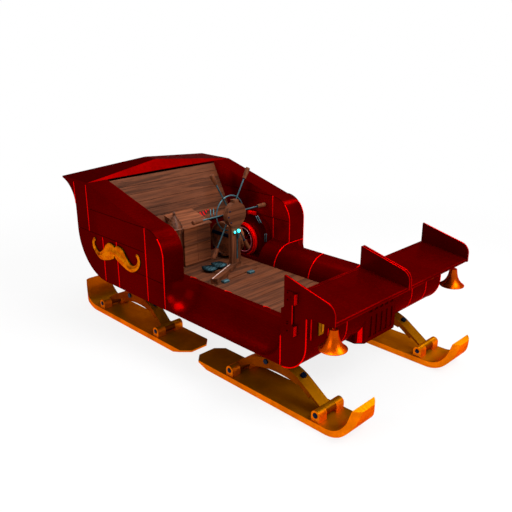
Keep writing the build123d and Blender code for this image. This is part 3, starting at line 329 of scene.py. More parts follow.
class Recipe(Nodes):
    """A material's nodes, with short calls for those that these finishes share."""

    def __init__(self, name):
        self.material = bpy.data.materials.new(name)
        super().__init__(self.material)
        self.shader = self.add("ShaderNodeBsdfPrincipled")
        self.out = self.add("ShaderNodeOutputMaterial").inputs["Surface"]
        self.put(self.shader.outputs["BSDF"], self.out)
        self.place = self.add("ShaderNodeTexCoord").outputs["Object"]

    def stretched(self, scale):
        made = self.fill(self.add("ShaderNodeMapping"), Vector=self.place, Scale=scale)
        return made.outputs["Vector"]

    def noise(self, scale, detail, rough=0.55, where=None, distort=0):
        made = self.fill(
            self.add("ShaderNodeTexNoise"), Scale=scale, Detail=detail, Roughness=rough,
            Distortion=distort, Vector=where or self.place,
        )
        return made.outputs["Fac"]

    def spread(self, value, low, high, to_low=0, to_high=1):
        made = self.add("ShaderNodeMapRange", interpolation_type="SMOOTHSTEP")
        self.fill(made, From_Min=low, From_Max=high, To_Min=to_low, To_Max=to_high, Value=value)
        return made.outputs["Result"]

    def blend(self, factor, first, second):
        made = self.add("ShaderNodeMix", data_type="RGBA")
        for socket, value in ((0, factor), (6, first), (7, second)):
            self.put(value, made.inputs[socket])
        return made.outputs[2]

    def times(self, first, second, operation="MULTIPLY"):
        return self.fill(self.add("ShaderNodeMath", operation=operation), first, second).outputs[0]

    def bump(self, height, strength, distance):
        made = self.fill(
            self.add("ShaderNodeBump"), Strength=strength, Distance=distance, Height=height
        )
        self.put(made.outputs["Normal"], self.shader.inputs["Normal"])

    def split(self, vector, axis):
        return self.fill(self.add("ShaderNodeSeparateXYZ"), vector).outputs[axis]

    def facing(self, axis):
        """How far a face looks along an axis of the object, from -1 to 1."""
        return self.split(self.add("ShaderNodeTexCoord").outputs["Normal"], axis)

    def finish(self, base, rough, **sockets):
        self.fill(self.shader, Base_Color=base, Roughness=rough, **sockets)
        return self.material


def once(build):
    """Makes a finish once for each name, which is the function's own unless another is given."""

    def give(name=build.__name__, *settings):
        return bpy.data.materials.get(name) or build(Recipe(name), *settings)

    return give


def toned(tone, factor):
    return tuple(factor * c for c in tone)


# Lacquer over foil: its gloss is the foil's, in red
CANDY = {"Metallic": 0.45, "Specular_Tint": (1, 0, 0), "Specular_IOR_Level": 0}


@once
def red(mix):
    """Candy lacquer: drifts of colour, an orange-peel ripple, and scuffs that dull the gloss.

    Each name has a base, a shade, a share of foil, and perhaps a lighter base of painted light
    and how far it reaches from the sleigh's middle.
    """
    paint = bpy.context.scene.sleigh_paint
    base, shade, foil, *lining = {
        "red_lacquer": (paint.body, paint.shade, 0.45),
        "lined_red": (paint.body, paint.shade, 0.45, paint.lining, INNER_Y + 0.001),
        "drum_red": (paint.body, paint.shade, 0.45, paint.barrel, VOLUTE_Y - 0.003),
        "fan_red": (toned(paint.body, 4), toned(paint.shade, 3), 0.45),
        # Painted highlight reds for beads and caps along edges
        "trim_red": (paint.trim, toned(paint.trim, 0.82), 0.3),
        "cap_red": (toned(paint.trim, 0.5), toned(paint.trim, 0.3), 0.3),
        "tray_line_red": (toned(paint.trim, 0.34), paint.body, 0.3),
        # Painted shade red for grooves and creases, also the screws' colour
        "line_red": (paint.line, toned(paint.line, 0.6), 0.2),
    }[mix.material.name]
    drift = mix.spread(mix.noise(1.7, 3), 0.32, 0.68)
    specks = mix.spread(mix.noise(95, 2), 0.6, 0.74)
    # Painted light: a lighter base nearer the middle than a given distance
    if lining:
        inner, reach = lining
        out = mix.times(mix.split(mix.place, "Y"), 0, "ABSOLUTE")
        base = mix.blend(mix.times(out, reach, "LESS_THAN"), base, inner)
    mottled = mix.blend(drift, shade, base)
    bright = tuple(min(1, c * 1.7) for c in shade)
    worn = mix.blend(mix.times(specks, 0.25), mottled, bright)
    scuffs = mix.noise(26, 5, 0.7, mix.stretched((1, 1, 5)))
    rough = mix.spread(scuffs, 0.35, 0.75, paint.gloss - 0.07, paint.gloss + 0.12)
    mix.bump(mix.noise(150, 2), paint.peel, 0.002)
    return mix.finish(worn, rough, **{**CANDY, "Metallic": foil})


@once
def crest_red(mix):
    """Lacquer with painted light: a painted highlight on the faces that look forward and painted
    shade on those that look back.
    """
    paint = bpy.context.scene.sleigh_paint
    # Painted light mask: forward faces take the painted highlight, rear faces painted shade
    painted_light_forward = mix.spread(mix.facing("X"), 0, 0.6)
    drift = mix.spread(mix.noise(2.4, 3), 0.3, 0.7)
    bright = mix.blend(drift, toned(paint.crest, 0.72), paint.crest)
    rough = mix.spread(mix.noise(30, 4), 0.3, 0.75, paint.gloss, paint.gloss + 0.15)
    mix.bump(mix.noise(150, 2), paint.peel, 0.002)
    return mix.finish(mix.blend(painted_light_forward, toned(paint.shade, 0.2), bright), rough, **CANDY)


@once
def wood(mix, axis, shade=1):
    """Oiled wood with its grain along an axis: noise drawn out along it, with pores and streaks."""
    tones = bpy.context.scene.sleigh_wood
    drawn, fine = [18] * 3, [70] * 3
    drawn["XYZ".index(axis)] = 0.9
    fine["XYZ".index(axis)] = 2.5
    grain = mix.noise(1, 6, 0.62, mix.stretched(drawn), 0.8)
    pores = mix.noise(1, 3, 0.6, mix.stretched(fine))
    patches = mix.spread(mix.noise(2.2, 2), 0.35, 0.7)
    light = mix.blend(patches, toned(tones.light, shade), toned(tones.warm, shade))
    body = mix.blend(mix.spread(grain, 0.36, 0.6), toned(tones.dark, shade), light)
    dots = mix.spread(pores, 0.28, 0.42)
    pored = mix.blend(dots, toned(tones.dark, shade * 0.6), body)
    rough = mix.spread(grain, 0.3, 0.7, tones.rough + 0.12, tones.rough - 0.08)
    mix.bump(mix.times(grain, mix.times(pores, 0.25), "ADD"), tones.relief, 0.006)
    return mix.finish(pored, rough, Specular_IOR_Level=0.06)


@once
def varnished_wood(mix):
    """Turned wood under a thin varnish, its grain drawn out along the post."""
    tones = bpy.context.scene.sleigh_wood
    grain = mix.noise(1, 6, 0.62, mix.stretched((22, 22, 1.4)), 0.8)
    cloud = mix.spread(mix.noise(7, 3), 0.35, 0.65)
    light = mix.blend(cloud, toned(tones.light, 0.95), toned(tones.light, 1.3))
    tone = mix.blend(mix.spread(grain, 0.36, 0.6), tones.dark, light)
    mix.bump(grain, 0.15, 0.003)
    return mix.finish(tone, mix.spread(grain, 0.3, 0.7, 0.42, 0.3), Specular_IOR_Level=0.15)


@once
def brass(mix, base, top, metal, level=None):
    """Brass with cloudy tarnish and fine scratches; faces that look up may take another colour as
    painted light or shade.
    """
    level = level or bpy.context.scene.sleigh_metal.rough
    cloud = mix.spread(mix.noise(5, 5, 0.6), 0.32, 0.7)
    tone = mix.blend(cloud, toned(base, 0.66), base)
    if top:
        # Painted light and shade: faces that look up blend to the top colour
        up = mix.spread(mix.facing("Z"), 0.55, 0.9)
        tone = mix.blend(up, tone, mix.blend(cloud, toned(top, 0.7), top))
    scratches = mix.noise(1, 4, 0.7, mix.stretched((5.4, 72, 72)))
    gloss = mix.spread(scratches, 0.3, 0.75, level - 0.08, level + 0.14)
    mix.bump(scratches, 0.12, 0.001)
    tint = toned(base, 1 / max(base))
    return mix.finish(tone, gloss, Metallic=metal, Specular_IOR_Level=0, Specular_Tint=tint)


@once
def scroll_gold(mix):
    """Carved gilding with a painted highlight on the faces that look outwards and painted shade on
    the flanks, under a rubbed cloud.
    """
    out = mix.times(mix.facing("Y"), 0, "ABSOLUTE")
    cloud = mix.noise(16, 5, 0.65)
    # Painted light mask: faces that look outwards are lit, flanks shaded
    painted_light_facing = mix.spread(mix.times(out, mix.times(cloud, 0.22), "ADD"), 0.62, 1.06)
    rubbed = mix.spread(cloud, 0.38, 0.66)
    gold = mix.blend(rubbed, (0.5, 0.09, 0.0003), (0.78, 0.215, 0.0008))
    mix.bump(cloud, 0.25, 0.003)
    # Painted shade on the flanks, gold on the outward faces
    return mix.finish(
        mix.blend(painted_light_facing, (0.02, 0.013, 0.0004), gold),
        mix.spread(cloud, 0.3, 0.7, 0.22, 0.42),
        Metallic=0.85, Specular_IOR_Level=0, Specular_Tint=(1, 0.4, 0.02),
    )


@once
def steel(mix, base, rough=0.42):
    """Blued steel: a colour that drifts with heat, with fine pitting."""
    heat = mix.spread(mix.noise(14, 3), 0.3, 0.7)
    pits = mix.noise(160, 3)
    mix.bump(pits, 0.15, 0.001)
    return mix.finish(
        mix.blend(heat, toned(base, 0.55), base),
        mix.spread(pits, 0.3, 0.7, rough - 0.05, rough + 0.12),
        Metallic=0.6, Specular_IOR_Level=0.05,
    )


def blued_steel():
    return steel("blued_steel", bpy.context.scene.sleigh_metal.steel)


def navy_steel():
    return steel("navy_steel", bpy.context.scene.sleigh_metal.navy, 0.35)


@once
def knob_glow(mix):
    """Glass knob with a painted glow from emission, as if lit from inside, a little cloudy."""
    cloud = mix.spread(mix.noise(60, 3), 0.3, 0.7)
    tone = mix.blend(cloud, (0, 0.8, 0.85), (0.05, 1, 1))
    return mix.finish(tone, 0.2, Emission_Color=tone, Emission_Strength=4)


@once
def rose_glass(mix):
    """Tinted glass with a cloudy rim."""
    cloud = mix.spread(mix.noise(22, 4), 0.35, 0.7)
    return mix.finish(
        mix.blend(cloud, (0.16, 0.001, 0.003), (0.34, 0.01, 0.016)),
        mix.spread(cloud, 0, 1, 0.08, 0.22),
        Transmission_Weight=0.15, IOR=1.45, Specular_IOR_Level=0.2,
    )


@once
def pink_glass(mix):
    """Pink glass, a little milky."""
    milk = mix.spread(mix.noise(40, 3), 0.3, 0.7)
    tone = mix.blend(milk, (0.62, 0.1, 0.13), (0.8, 0.26, 0.3))
    return mix.finish(tone, 0.15, Coat_Weight=0.5, IOR=1.45)


@once
def painted_edge_highlight(mix):
    """A painted highlight along an edge, broken into pale chips on wood."""
    chips = mix.spread(mix.noise(48, 4, 0.7), 0.36, 0.52)
    tone = mix.blend(chips, (0.22, 0.1, 0.07), (0.8, 0.58, 0.52))
    mix.bump(chips, 0.3, 0.002)
    return mix.finish(tone, mix.spread(chips, 0, 1, 0.5, 0.35), Specular_IOR_Level=0.4)


@once
def striped_red(mix):
    """Red lacquer with uneven dark stripes."""
    wave = mix.add("ShaderNodeTexWave", wave_type="BANDS", bands_direction="DIAGONAL")
    mix.fill(wave, Scale=13, Distortion=5, Detail=2, Vector=mix.place)
    stripes = mix.spread(wave.outputs["Fac"], 0.38, 0.56)
    tone = mix.blend(stripes, (0.008, 0.003, 0.003), (0.62, 0, 0))
    return mix.finish(tone, mix.spread(stripes, 0, 1, 0.5, 0.3), Specular_IOR_Level=0.2)


def both(*names):
    return [f"{name}_{side}" for name in names for side, _ in SIDES]


def wear(material, *nodes):
    """Gives a material to every slot of CAD nodes."""
    for name in nodes:
        slots = NODES[name].material_slots
        if not slots:
            NODES[name].data.materials.append(material)
        for each in slots:
            each.link = "DATA"
            each.material = material


class PaintBody(bpy.types.Operator):
    """Lacquers the walls, sills, nose, trays and the blower."""

    bl_idname = "sleigh.paint_body"
    bl_label = "Paint the body"

    MIDDLE = ("cabin_back", "bulkhead", "floor_pan", "nose_block", "nose_centre", "blower_clips")
    PAIRED = ("sill", "tray", "fins", "latch_plates", "latch_bar")

    def execute(self, context):
        wear(red("red_lacquer"), *self.MIDDLE, *both(*self.PAIRED))
        # Walls get painted fill light on their inner faces
        wear(red("lined_red"), *both("cabin_wall"))
        # The blower's barrel gets a painted highlight
        wear(red("drum_red"), "blower_casing")
        wear(red("fan_red"), "blower_fan")
        wear(crest_red(), "crest")
        return {"FINISHED"}


class FinishWood(bpy.types.Operator):
    """Gives each wooden piece its grain along its own length."""

    bl_idname = "sleigh.finish_wood"
    bl_label = "Finish the wood"

    def execute(self, context):
        wear(wood("wood_across", "Y"), "backrest", "floor_boards", "helm_base")
        # Locker and keg wood painted lighter as fill light, where they lie in shade
        wear(wood("wood_locker", "Y", 1.7), "locker_body", "locker_lid")
        wear(wood("wood_staves", "Y", 1.5), "keg")
        wear(wood("wood_upright", "Z", 1.1), "helm_post", "helm_grips")
        wear(wood("wood_face", "Y", 0.95), "helm_hub", "helm_head", "keg_chocks")
        return {"FINISHED"}


class FinishMetal(bpy.types.Operator):
    """Gives the runners, bells, rods and bolts their metals, and the knobs and ring their glass."""

    bl_idname = "sleigh.finish_metal"
    bl_label = "Finish the metal"

    def execute(self, context):
        metals = context.scene.sleigh_metal
        # Painted shade on the skis' upper faces, painted highlight in gilt on the arches' upper
        # faces
        runner = brass("ski_brass", metals.runner, metals.patina, 0.7)
        strap = brass("strap_brass", metals.strap, metals.gilt, 0.55)
        gilt = brass("plate_gilt", metals.gilt, None, 0.7)
        bell = brass("bell_gold", metals.bell, None, 0.95, 0.3)
        wear(runner, *both("ski_front", "ski_rear"))
        wear(strap, *both("arch_front", "arch_rear"))
        wear(bell, *both("bell", "clapper"))
        wear(gilt, "nose_plates", *both("scroll", "bell_hanger"))
        wear(navy_steel(), "ski_pins", "arch_bolts", "keg_hoops", "helm_axle")
        wear(blued_steel(), "lever", "base_blocks", "helm_wheel")
        wear(knob_glow(), "lever_knobs")
        wear(rose_glass(), "blower_ring")
        return {"FINISHED"}


class LayWallSeams(bpy.types.Operator):
    """Lays painted highlight beads over the walls' upright seams and painted shade lines along
    their level ones.
    """

    bl_idname = "sleigh.lay_wall_seams"
    bl_label = "Lay the wall seams"

    # Each upright row: distance ahead of the body's middle, then two heights.
    # Each level row: height, then two such distances.
    UPRIGHT = (
        (-1.785, 1.251, 1.491), (-1.543, 0.988, 1.491), (-1.288, 0.487, 0.976),
        (-1.03, 0.487, 0.983), (-0.524, 0.487, 1.236),
    )
    LEVEL = ((1.238, -1.502, -0.531), (0.986, -1.759, -0.531), (0.738, -0.756, -0.262))
    INNER_UPRIGHT = ((-0.5, 0.745, 0.985), (-0.512, 0.995, 1.246))
    INNER_LEVEL = ((1.246, -1.33, -0.52), (0.99, -1.19, -0.262))

    def execute(self, context):
        trim = context.scene.sleigh_trim
        low_z = SHOULDER_Z - SHOULDER_R
        for side, sign in SIDES:
            beads, lines = [], []
            faces = [(WALL_Y, self.UPRIGHT, self.LEVEL, WALL_LOW + trim.bead)]
            if sign > 0:
                faces.append((INNER_Y, self.INNER_UPRIGHT, self.INNER_LEVEL, SILL_TOP))
            else:
                faces.append((INNER_Y, (), self.INNER_LEVEL, None))
            for y, uprights, levels, edge_low in faces:
                for x, low, high in uprights:
                    path = np.linspace((SHIFT + x, y, low), (SHIFT + x, y, high), 4)
                    beads.append(edging(path, sign, trim.bead, Y))
                for z, rear, front in levels:
                    path = np.linspace((SHIFT + rear, y, z), (SHIFT + front, y, z), 4)
                    lines.append(edging(path, sign, trim.line, Y))
                if edge_low is None:
                    continue
                middle = (CABIN_FRONT - SHOULDER_R, y, low_z)
                down = np.linspace((CABIN_FRONT, y, low_z - 0.05), (CABIN_FRONT, y, edge_low), 4)
                edge = np.concatenate((arc(middle, SHOULDER_R, 46, 0, 16), down))
                # A painted highlight bead down the front edge, and a painted shade line along the
                # shoulder's crease
                beads.append(edging(edge, sign, trim.bead * 0.9, Y))
                lines.append(edging(arc(middle, SHOULDER_R, 88, 48, 16), sign, trim.line, Y))
            if sign > 0:
                foot = [(CABIN_FRONT, y, SILL_TOP) for y in (INNER_Y, WALL_Y)]
                beads.append(bead(np.linspace(*foot, 3), trim.bead * 0.8, X))
            piece(f"wall_beads_{side}", beads, red("trim_red"))
            piece(f"wall_lines_{side}", lines, red("line_red"))
        return {"FINISHED"}


class LaySillSeams(bpy.types.Operator):
    """Lays painted highlight beads over the sills' rolls, from the crest down to the floor."""

    bl_idname = "sleigh.lay_sill_seams"
    bl_label = "Lay the sill seams"

    SEAMS = (-0.25, 0.252, 0.75)

    def execute(self, context):
        trim = context.scene.sleigh_trim
        for side, sign in SIDES:
            start = 90 if sign > 0 else 108
            beads = []
            for x in self.SEAMS:
                middle = (SHIFT + x, INNER_Y, SILL_TOP - ROLL_R)
                path = arc(middle, ROLL_R, start, 175, 24, (Y, Z))
                beads.append(edging(path, sign, trim.bead * 0.9, X))
            piece(f"sill_beads_{side}", beads, red("trim_red"))
        return {"FINISHED"}


class TrimNose(bpy.types.Operator):
    """Painted highlight beads on the nose and fins, painted highlight strips beside the centre
    block, plate bars and tray lines.
    """

    bl_idname = "sleigh.trim_nose"
    bl_label = "Trim the nose"

    FRONT_SEAMS = (0.735, 0.49)
    SHORT_SEAM = (WALL_Y - 0.055, 0.77)
    UNDER_TRAY = NOSE_BOX[1].z - 0.012

    def round_path(self, y, top, depth):
        """Down the nose's front at a place across, then round its underside for some degrees."""
        front, low = NOSE_BOX[1].x, NOSE_BOX[0].z
        down = np.linspace((front, y, top), (front, y, low + NOSE_R + 0.02), 4)
        under = arc((front - NOSE_R, y, low + NOSE_R), NOSE_R, 0, -depth, 14)
        return np.concatenate((down, under))

    def nose_beads(self, side, sign, trim):
        rear, low, front = NOSE_BOX[0].x, NOSE_BOX[0].z + trim.bead, NOSE_BOX[1].x
        y, short_low = self.SHORT_SEAM
        runs = [
            (self.round_path(WALL_Y, self.UNDER_TRAY, 88), trim.bead, Y),
            (np.linspace((rear, WALL_Y, low), (rear, WALL_Y, SILL_TOP), 4), trim.bead, Y),
            (np.linspace((front, y, self.UNDER_TRAY), (front, y, short_low), 4), trim.bead, X),
        ]
        runs += [(self.round_path(y, 0.8, 40), trim.bead * 0.8, Y) for y in self.FRONT_SEAMS]
        beads = [edging(path, sign, radius, up) for path, radius, up in runs]
        piece(f"nose_beads_{side}", beads, red("trim_red"))

    def fin_caps(self, side, sign, trim):
        """Painted highlight rolls along the fins' edges: down a slope, round an arc that touches
        it, then down.
        """
        rear, tip, top = FIN_BOX[0].x, FIN_BOX[1].x, FIN_BOX[1].z
        slope, sin, cos = math.tan(FIN_SLOPE), math.sin(FIN_SLOPE), math.cos(FIN_SLOPE)
        reach = FIN_NOSE_R * math.tan((math.pi / 2 - FIN_SLOPE) / 2)
        start_x, start_z = tip - reach * cos, top - (tip - rear) * slope + reach * sin
        middle_x, middle_z = start_x - FIN_NOSE_R * sin, start_z - FIN_NOSE_R * cos
        caps = []
        for y, cap in ((0.014, trim.cap * 0.8), (WALL_Y - 0.011, trim.cap)):
            sunk = cap * 0.55
            fall = np.linspace((rear, y, top), (start_x - 0.01, y, start_z + 0.01 * slope), 6)
            fall -= sunk * np.array((sin, 0, 1))
            nose = arc((middle_x, y, middle_z), FIN_NOSE_R - sunk, 76, 0, 16)
            ends = [(tip - sunk, y, z) for z in (middle_z - 0.01, TRAY_BOX[0].z + 0.004)]
            down = np.linspace(*ends, 3)
            caps.append(edging(np.concatenate((fall, nose, down)), sign, cap, Y, 10))
        piece(f"fin_caps_{side}", caps, red("cap_red"))

    def nose_strip(self, side, sign):
        """A painted highlight strip on the centre block's chamfer that widens on its way down."""
        low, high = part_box("nose_centre")
        x, y = high.x - CENTRE_CHAMFER / 2, high.y - CENTRE_CHAMFER / 2
        rows = []
        for fall in np.linspace(0, 1, 9):
            z = (1 - fall) * (high.z - 0.004) + fall * (low.z + 0.012)
            half = 0.005 + 0.011 * fall
            corners = ((half, -0.001), (-half, -0.001), (-half, 0.0018), (half, 0.0018))
            rows.append([(x + out + proud, sign * (y - out + proud), z) for out, proud in corners])
        piece(f"nose_strip_{side}", [skin(rows)], red("trim_red"), smooth=False)

    def tray_lines(self, side, sign, trim):
        (rear, inner, low), (front, outer, top) = TRAY_BOX
        runs = (
            (front - 0.0035, low + 0.008, 0.55), (front - 0.0062, low + 0.0278, 0.4),
            (rear + 0.01, top - 0.0003, 0.45), (rear + 0.03, top - 0.0021, 0.45),
        )
        lines = []
        for x, z, size in runs:
            path = np.linspace((x, inner + 0.002, z), (x, outer - 0.002, z), 5)
            lines.append(edging(path, sign, trim.bead * size, Z))
        piece(f"tray_lines_{side}", lines, red("tray_line_red"))

    def plate_bar(self, side, sign):
        low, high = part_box("nose_plates")
        y, z = sign * (high.y + PLATE_INNER_Y) / 2, (low.z + high.z) / 2
        corners = (high.x - 0.001, y - 0.011, z - 0.04), (high.x + 0.007, y + 0.011, z + 0.04)
        bar = cushioned_box(*corners, 0.006)
        bright = brass("bright_gilt", (0.85, 0.3, 0.01), None, 0.6)
        piece(f"plate_bar_{side}", [bar], bright)

    def execute(self, context):
        trim = context.scene.sleigh_trim
        for side, sign in SIDES:
            self.nose_beads(side, sign, trim)
            self.fin_caps(side, sign, trim)
            self.nose_strip(side, sign)
            self.tray_lines(side, sign, trim)
            self.plate_bar(side, sign)
        return {"FINISHED"}


class FitLatches(bpy.types.Operator):
    """Painted highlights along the front edges of the latches' ears and bar, and screws in their
    plates.
    """

    bl_idname = "sleigh.fit_latches"
    bl_label = "Fit the latches"

    SCREW = ((0.0065, 0), (0.0065, 0.002), (0.0045, 0.004), (0.002, 0.0048))
    EDGE = 0.002
    PLATE_H = 0.088

    def execute(self, context):
        low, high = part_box("latch_plates_left")
        bar_low, bar_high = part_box("latch_bar_left")
        half = self.PLATE_H / 2
        for side, sign in SIDES:
            edges, screws = [], []
            for z in (low.z + half, high.z - half):
                ear_low = (high.x - self.EDGE, sign * (WALL_Y + 0.004), z - half + 0.003)
                ear_high = (high.x + self.EDGE, sign * (high.y - 0.001), z + half - 0.003)
                edges.append(cushioned_box(ear_low, ear_high, self.EDGE))
                for up in (-1, 1):
                    at = (low.x + 0.014, sign * (WALL_Y + 0.008), z + up * 0.03)
                    screws.append(turned(self.SCREW, at, (0, sign, 0), 14))
            face_low = (bar_high.x - self.EDGE, sign * (bar_low.y + 0.001), bar_low.z + 0.045)
            face_high = (bar_high.x + 0.003, sign * (bar_high.y + 0.001), bar_high.z - 0.045)
            edges.append(cushioned_box(face_low, face_high, self.EDGE))
            piece(f"latch_edges_{side}", edges, red("trim_red"))
            piece(f"latch_screws_{side}", screws, red("line_red"))
        return {"FINISHED"}


class CarveScrolls(bpy.types.Operator):
    """Carves the double scrolls: a fluted dome between the scroll's lower and upper edge."""

    bl_idname = "sleigh.carve_scrolls"
    bl_label = "Carve the scrolls"

    # Rows from the middle notch to the tip: lower edge, then upper edge, in millimetres
    ROWS = (
        ((0, 100), (0, 200)), ((22, 66), (30, 224)), ((64, 46), (70, 231)),
        ((112, 25), (128, 220)), ((160, 13), (168, 190)), ((215, -2), (205, 146)),
        ((282, -4), (252, 104)), ((338, 15), (296, 84)), ((385, 48), (335, 88)),
        ((420, 85), (366, 106)), ((437, 125), (388, 136)), ((438, 165), (393, 158)),
        ((421, 197), (386, 174)), ((402, 216), (374, 183)), ((385, 220), (368, 192)),
        ((374, 212), (367, 200)),
    )

    def edges(self):
        """Both edges on a Catmull-Rom spline through the rows, and how many rows are left."""
        rows = np.array(self.ROWS, float) / 1000
        last = len(rows) - 1
        fine = np.linspace(0, last, 150)
        before = np.clip(np.floor(fine).astype(int), 0, last - 1)
        t = (fine - before)[:, None, None]
        ends = np.concatenate((2 * rows[:1] - rows[1:2], rows, 2 * rows[-1:] - rows[-2:-1]))
        p0, p1, p2, p3 = (ends[before + k] for k in range(4))
        smooth = 0.5 * (
            2 * p1 + (p2 - p0) * t + (2 * p0 - 5 * p1 + 4 * p2 - p3) * t**2
            + (3 * p1 - p0 - 3 * p2 + p3) * t**3
        )
        return smooth[:, 0], smooth[:, 1], last - fine

    def execute(self, context):
        """Rise(u) = rise * sqrt(1 - u^2)^1.1 * (1 - 0.3 |sin(pi flutes (u + 1) / 2)|), u across.

        It is lower where the scroll is under 100 mm wide, and settles towards the tip.
        """
        trim = context.scene.sleigh_trim
        lower, upper, rows_left = self.edges()
        u = np.linspace(-1, 1, 41)
        width = np.linalg.norm(upper - lower, axis=1)
        place = lower[:, None] + (upper - lower)[:, None] * ((u + 1) / 2)[None, :, None]
        dome = np.sqrt(np.clip(1 - u**2, 0, 1)) ** 1.1
        flute = 1 - 0.3 * np.abs(np.sin(np.pi * trim.flutes * (u + 1) / 2))
        narrow = np.clip(width / 0.1, 0.25, 1)[:, None]
        settle = np.maximum(np.clip(rows_left / 0.8, 0, 1)[:, None] ** 0.5, 0.15)
        out = trim.rise * dome * flute * narrow * settle
        for side, sign in SIDES:
            parts = []
            for mirror in (1, -1):
                x = SCROLL_AT[0] + mirror * place[..., 0]
                z = SCROLL_AT[1] + place[..., 1]
                face = np.stack((x, sign * (WALL_Y + 0.0005 + out), z), -1)
                back = np.stack((x, np.full_like(x, sign * WALL_Y), z), -1)[:, -2:0:-1]
                parts.append(skin(np.concatenate((face, back), 1)))
            gold = scroll_gold()
            piece(f"carved_scroll_{side}", parts, gold, replaces=(f"scroll_{side}",))
        return {"FINISHED"}


class TurnHelm(bpy.types.Operator):
    """Twisted spokes with a ring, studs on the head, and ferrules where the grips begin."""

    bl_idname = "sleigh.turn_helm"
    bl_label = "Turn the helm"

    SPOKE_TURNS = range(0, 360, 60)
    SPOKE_R = 0.0095
    SPOKE_RUN = (0.045, 0.45)
    RING_R = 0.195
    RING_TUBE = 0.0076
    STUDS = ((152, 0.112), (184, 0.118), (222, 0.114))
    STUD = ((0.011, 0), (0.011, 0.003), (0.007, 0.007), (0.002, 0.009))
    FERRULE = ((0.0135, 0), (0.015, 0.003), (0.015, 0.011), (0.0135, 0.014))
    FERRULE_AT = 0.404

    def execute(self, context):
        turns = context.scene.sleigh_trim.turns
        hub_x = sum(corner.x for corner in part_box("helm_hub")) / 2
        middle = np.array((hub_x, *HEAD_AT[1:]))
        spokes, ferrules = [], []
        for turn in self.SPOKE_TURNS:
            out = outward(turn, (Y, Z))
            start, end = (middle + run * out for run in self.SPOKE_RUN)
            path = np.linspace(start, end, 90)
            spokes.append(bead(path, self.SPOKE_R, X, twist=turns, outline=circle(4)))
            ferrules.append(turned(self.FERRULE, middle + self.FERRULE_AT * out, out, 20))
        behind = middle - (self.SPOKE_R + self.RING_TUBE / 2) * X
        ring = loop(behind, self.RING_R, 72, (Y, Z))
        spokes.append(bead(ring, self.RING_TUBE, X, 10, closed=True))
        piece("twisted_spokes", spokes, blued_steel(), "helm", replaces=("helm_wheel",))
        studs = [
            turned(self.STUD, HEAD_AT - 0.001 * X + out * outward(turn, (Y, Z)), X, 16)
            for turn, out in self.STUDS
        ]
        piece("head_studs", studs, navy_steel())
        piece("grip_ferrules", ferrules, navy_steel(), "helm")
        return {"FINISHED"}


class FitBlower(bpy.types.Operator):
    """A rolled rim in painted highlight red and a glass bead round the blower's mouth, lugs in that
    red on top, bars on its face.
    """

    bl_idname = "sleigh.fit_blower"
    bl_label = "Fit the blower"

    # Each row: distance ahead of the body's middle, then height, of a bar's two ends
    BARS = (
        ((-0.706, 0.984), (-0.64, 0.908)), ((-0.68, 0.996), (-0.612, 0.918)),
        ((-0.56, 0.8), (-0.556, 0.7)), ((-0.536, 0.812), (-0.532, 0.712)),
    )
    BAR_R = 0.0062
    LUGS = ((101, 0.03), (88, 0.022))

    def execute(self, context):
        mouth = np.array(DRUM_AT)
        rim = loop(mouth + 0.026 * Y, DRUM_R - 0.013, 64)
        band = bead(rim, 0.016, Y, closed=True, outline=circle(16) * (1, 2.1))
        # The rim is in painted highlight red
        piece("drum_rim", [band], red("trim_red"))
        inner = loop(mouth + 0.001 * Y, DRUM_R - 0.054, 64)
        glass = bead(inner, 0.0065, Y, 10, closed=True)
        piece("mouth_bead", [glass], pink_glass())

        middle = np.array((mouth[0] + VOLUTE_OFF[0], VOLUTE_Y, mouth[2] + VOLUTE_OFF[1]))
        lugs = []
        for turn, size in self.LUGS:
            low = middle + (VOLUTE_R - 0.004) * outward(turn)
            up = 0.03 + size * 0.3
            lugs.append(cushioned_box(low - (size, 0, 0.006), low + (size, 0.045, up), 0.008))
        # The lugs are in painted highlight red
        piece("casing_lugs", lugs, red("trim_red"))

        flat = VOLUTE_Y - 0.002
        bars = []
        for (x_low, z_low), (x_high, z_high) in self.BARS:
            path = np.linspace((SHIFT + x_low, flat, z_low), (SHIFT + x_high, flat, z_high), 5)
            bars.append(bead(path, self.BAR_R, Y))
        piece("casing_bars", bars, blued_steel())
        return {"FINISHED"}


